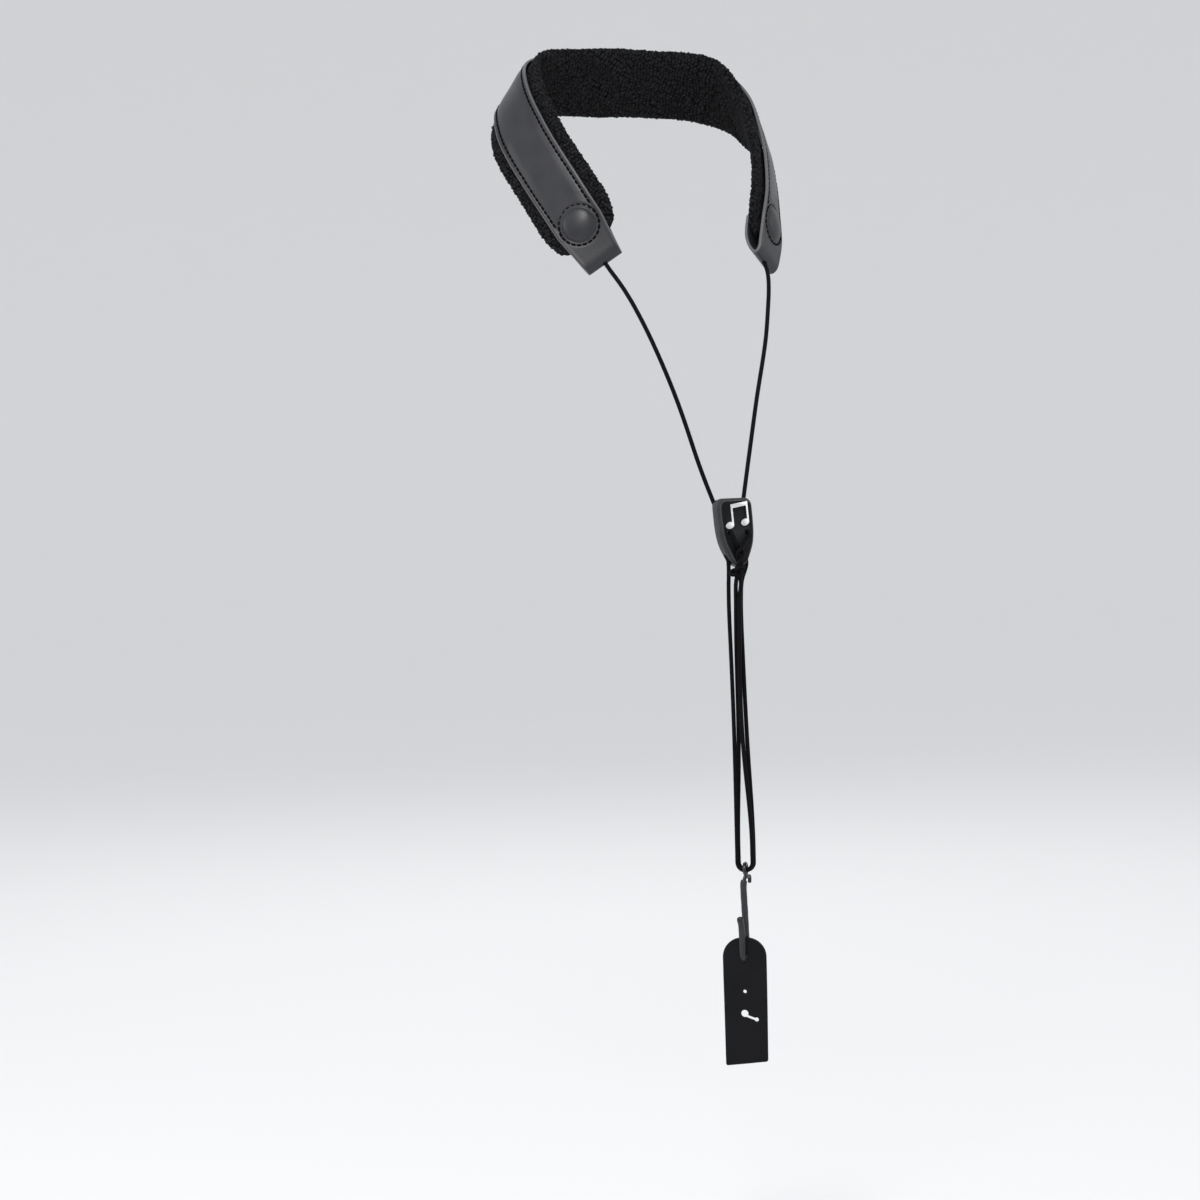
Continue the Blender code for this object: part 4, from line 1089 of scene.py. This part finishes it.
def tab_outline():
    half, low_half, corner, arch_height = TAB_HALF_WIDTH, TAB_HALF_WIDTH - 0.0004, 0.0012, 0.0118
    turn = np.radians(90 * (1 - np.arange(25) / 24))
    arch = np.stack([half * np.clip(np.cos(turn), 0, 1) ** 0.9,
                     TAB_TOP - arch_height + arch_height * np.sin(turn)], axis=1)
    turn = np.radians(90 * np.arange(7) / 6)
    foot = np.stack([low_half - corner + corner * np.cos(turn), corner - corner * np.sin(turn)], axis=1)
    right = np.concatenate([arch, [[half, -0.0100]], foot + (0, TAB_BOTTOM + TAB_SLANT)])
    left = np.concatenate([arch[1:], [[half, -0.0100]], foot + (0, TAB_BOTTOM - TAB_SLANT)])
    return np.concatenate([right, left[::-1] * (-1, 1)])


def circle(x, z, radius, count):
    turn = full_turn(count)
    return np.stack([x + radius * np.cos(turn), z + radius * np.sin(turn)], axis=1)


def slit_outline():
    """Post hole, the slit that leaves it and the slit's round end, as one outline."""
    start, end = np.array(POST_HOLE_CENTRE), np.array(SLIT_END_CENTRE)
    run_x, run_z = end - (0.0002, -0.0351)
    heading = math.atan2(run_z, run_x)
    hole_heading = heading - 0.62
    hole = [start + POST_HOLE_RADIUS * np.array((math.cos(a), math.sin(a)))
            for a in np.linspace(hole_heading + 0.40, hole_heading + 2 * math.pi - 0.40, 32)]
    rounded = [end + SLIT_END_RADIUS * np.array((math.cos(a), math.sin(a)))
               for a in np.linspace(heading - math.pi + 0.66, heading + math.pi - 0.66, 20)]
    return np.array(hole + rounded)


def make_tab(leather, raw_edge):
    """Leather tab with rounded edges, its eyelet, small hole and post hole with a slit."""
    outlines = [tab_outline(), circle(0.0, TAB_EYELET_HEIGHT, TAB_EYELET_RADIUS, 40),
                circle(-0.0003, -0.0197, 0.0011, 24), slit_outline()]
    curve = bpy.data.curves.new("tab", "CURVE")
    curve.dimensions = "2D"
    curve.fill_mode = "BOTH"
    curve.extrude = TAB_THICKNESS / 2 - TAB_SOFTENING
    curve.bevel_depth = TAB_SOFTENING
    curve.bevel_resolution = 2
    curve.offset = -TAB_SOFTENING
    for outline in outlines:
        spline = curve.splines.new("POLY")
        spline.points.add(len(outline) - 1)
        for point, (x, z) in zip(spline.points, outline):
            point.co = (x, z, 0.0, 1.0)
        spline.use_cyclic_u = True
    flat = bpy.data.objects.new("tab", curve)
    bpy.context.scene.collection.objects.link(flat)
    bpy.context.view_layer.update()
    graph = bpy.context.evaluated_depsgraph_get()
    mesh = bpy.data.meshes.new_from_object(flat.evaluated_get(graph))
    bpy.data.objects.remove(flat)
    bm = bmesh.new()
    bm.from_mesh(mesh)
    bmesh.ops.remove_doubles(bm, verts=bm.verts, dist=1e-6)
    for normal, places in ((Vector((0.0, 1.0, 0.0)), np.linspace(TAB_BOTTOM, TAB_TOP, 40)[1:-1]),
                           (Vector((1.0, 0.0, 0.0)), np.linspace(-TAB_HALF_WIDTH, TAB_HALF_WIDTH, 15)[1:-1])):
        for spot in places:
            geometry = list(bm.verts) + list(bm.edges) + list(bm.faces)
            bmesh.ops.bisect_plane(bm, geom=geometry, plane_co=normal * float(spot), plane_no=normal)
    bmesh.ops.recalc_face_normals(bm, faces=bm.faces)
    for face in bm.faces:
        face.material_index = 1 if abs(face.normal.z) < 0.4 else 0
    for vert in bm.verts:
        x, z = vert.co.x, vert.co.y
        vert.co.z += 0.00022 * math.sin(z * 75 + 0.6) + 0.00016 * math.cos(x * 190)
    bm.to_mesh(mesh)
    bm.free()
    bottom = LOOP @ Vector((SHANK_SIDE, BEND_CENTRE[0], BEND_CENTRE[1] - BEND_RADIUS))
    mesh.transform(Matrix.Translation(bottom) @ Matrix.Rotation(TAB_TURN, 4, "Z")
                   @ Matrix.Rotation(math.radians(90), 4, "X"))
    mesh.materials.clear()
    mesh.shade_smooth()
    mesh.set_sharp_from_angle(angle=math.radians(40))
    tab = new_object("thumb_rest_tab", mesh, leather, raw_edge)
    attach(tab, "tab")
    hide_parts("leather_tab")


# ------------------------ assembly

def main():
    make_camera()
    make_stage()
    make_lights()
    band = Band()
    cord = cord_material()
    make_upper_cords(band, cord)
    make_lower_cords(cord)
    make_knots(band, cord)
    make_leather(band, leather_material("band_leather", (0.019, 0.019, 0.0225), (0.125, 0.125, 0.132),
                                        0.37, 0.42, 0.00004, 1500.0),
                 thread_material())
    make_terry(band, terry_material())
    make_adjuster(plastic_material(), silver_material(), cord)
    make_hook(steel_material(), sleeve_material())
    make_tab(leather_material("tab_leather_face", (0.0055, 0.0055, 0.0072), (0.014, 0.014, 0.016), 0.50, 0.12,
                              0.00005, 1800.0),
             raw_edge_material("tab_cut_edge", (0.040, 0.040, 0.043)))
    board = raw_edge_material("boss_board", (0.08, 0.07, 0.06))
    for name in ("left_boss_disc", "right_boss_disc"):
        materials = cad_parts[name].data.materials
        materials.clear()
        materials.append(board)


main()
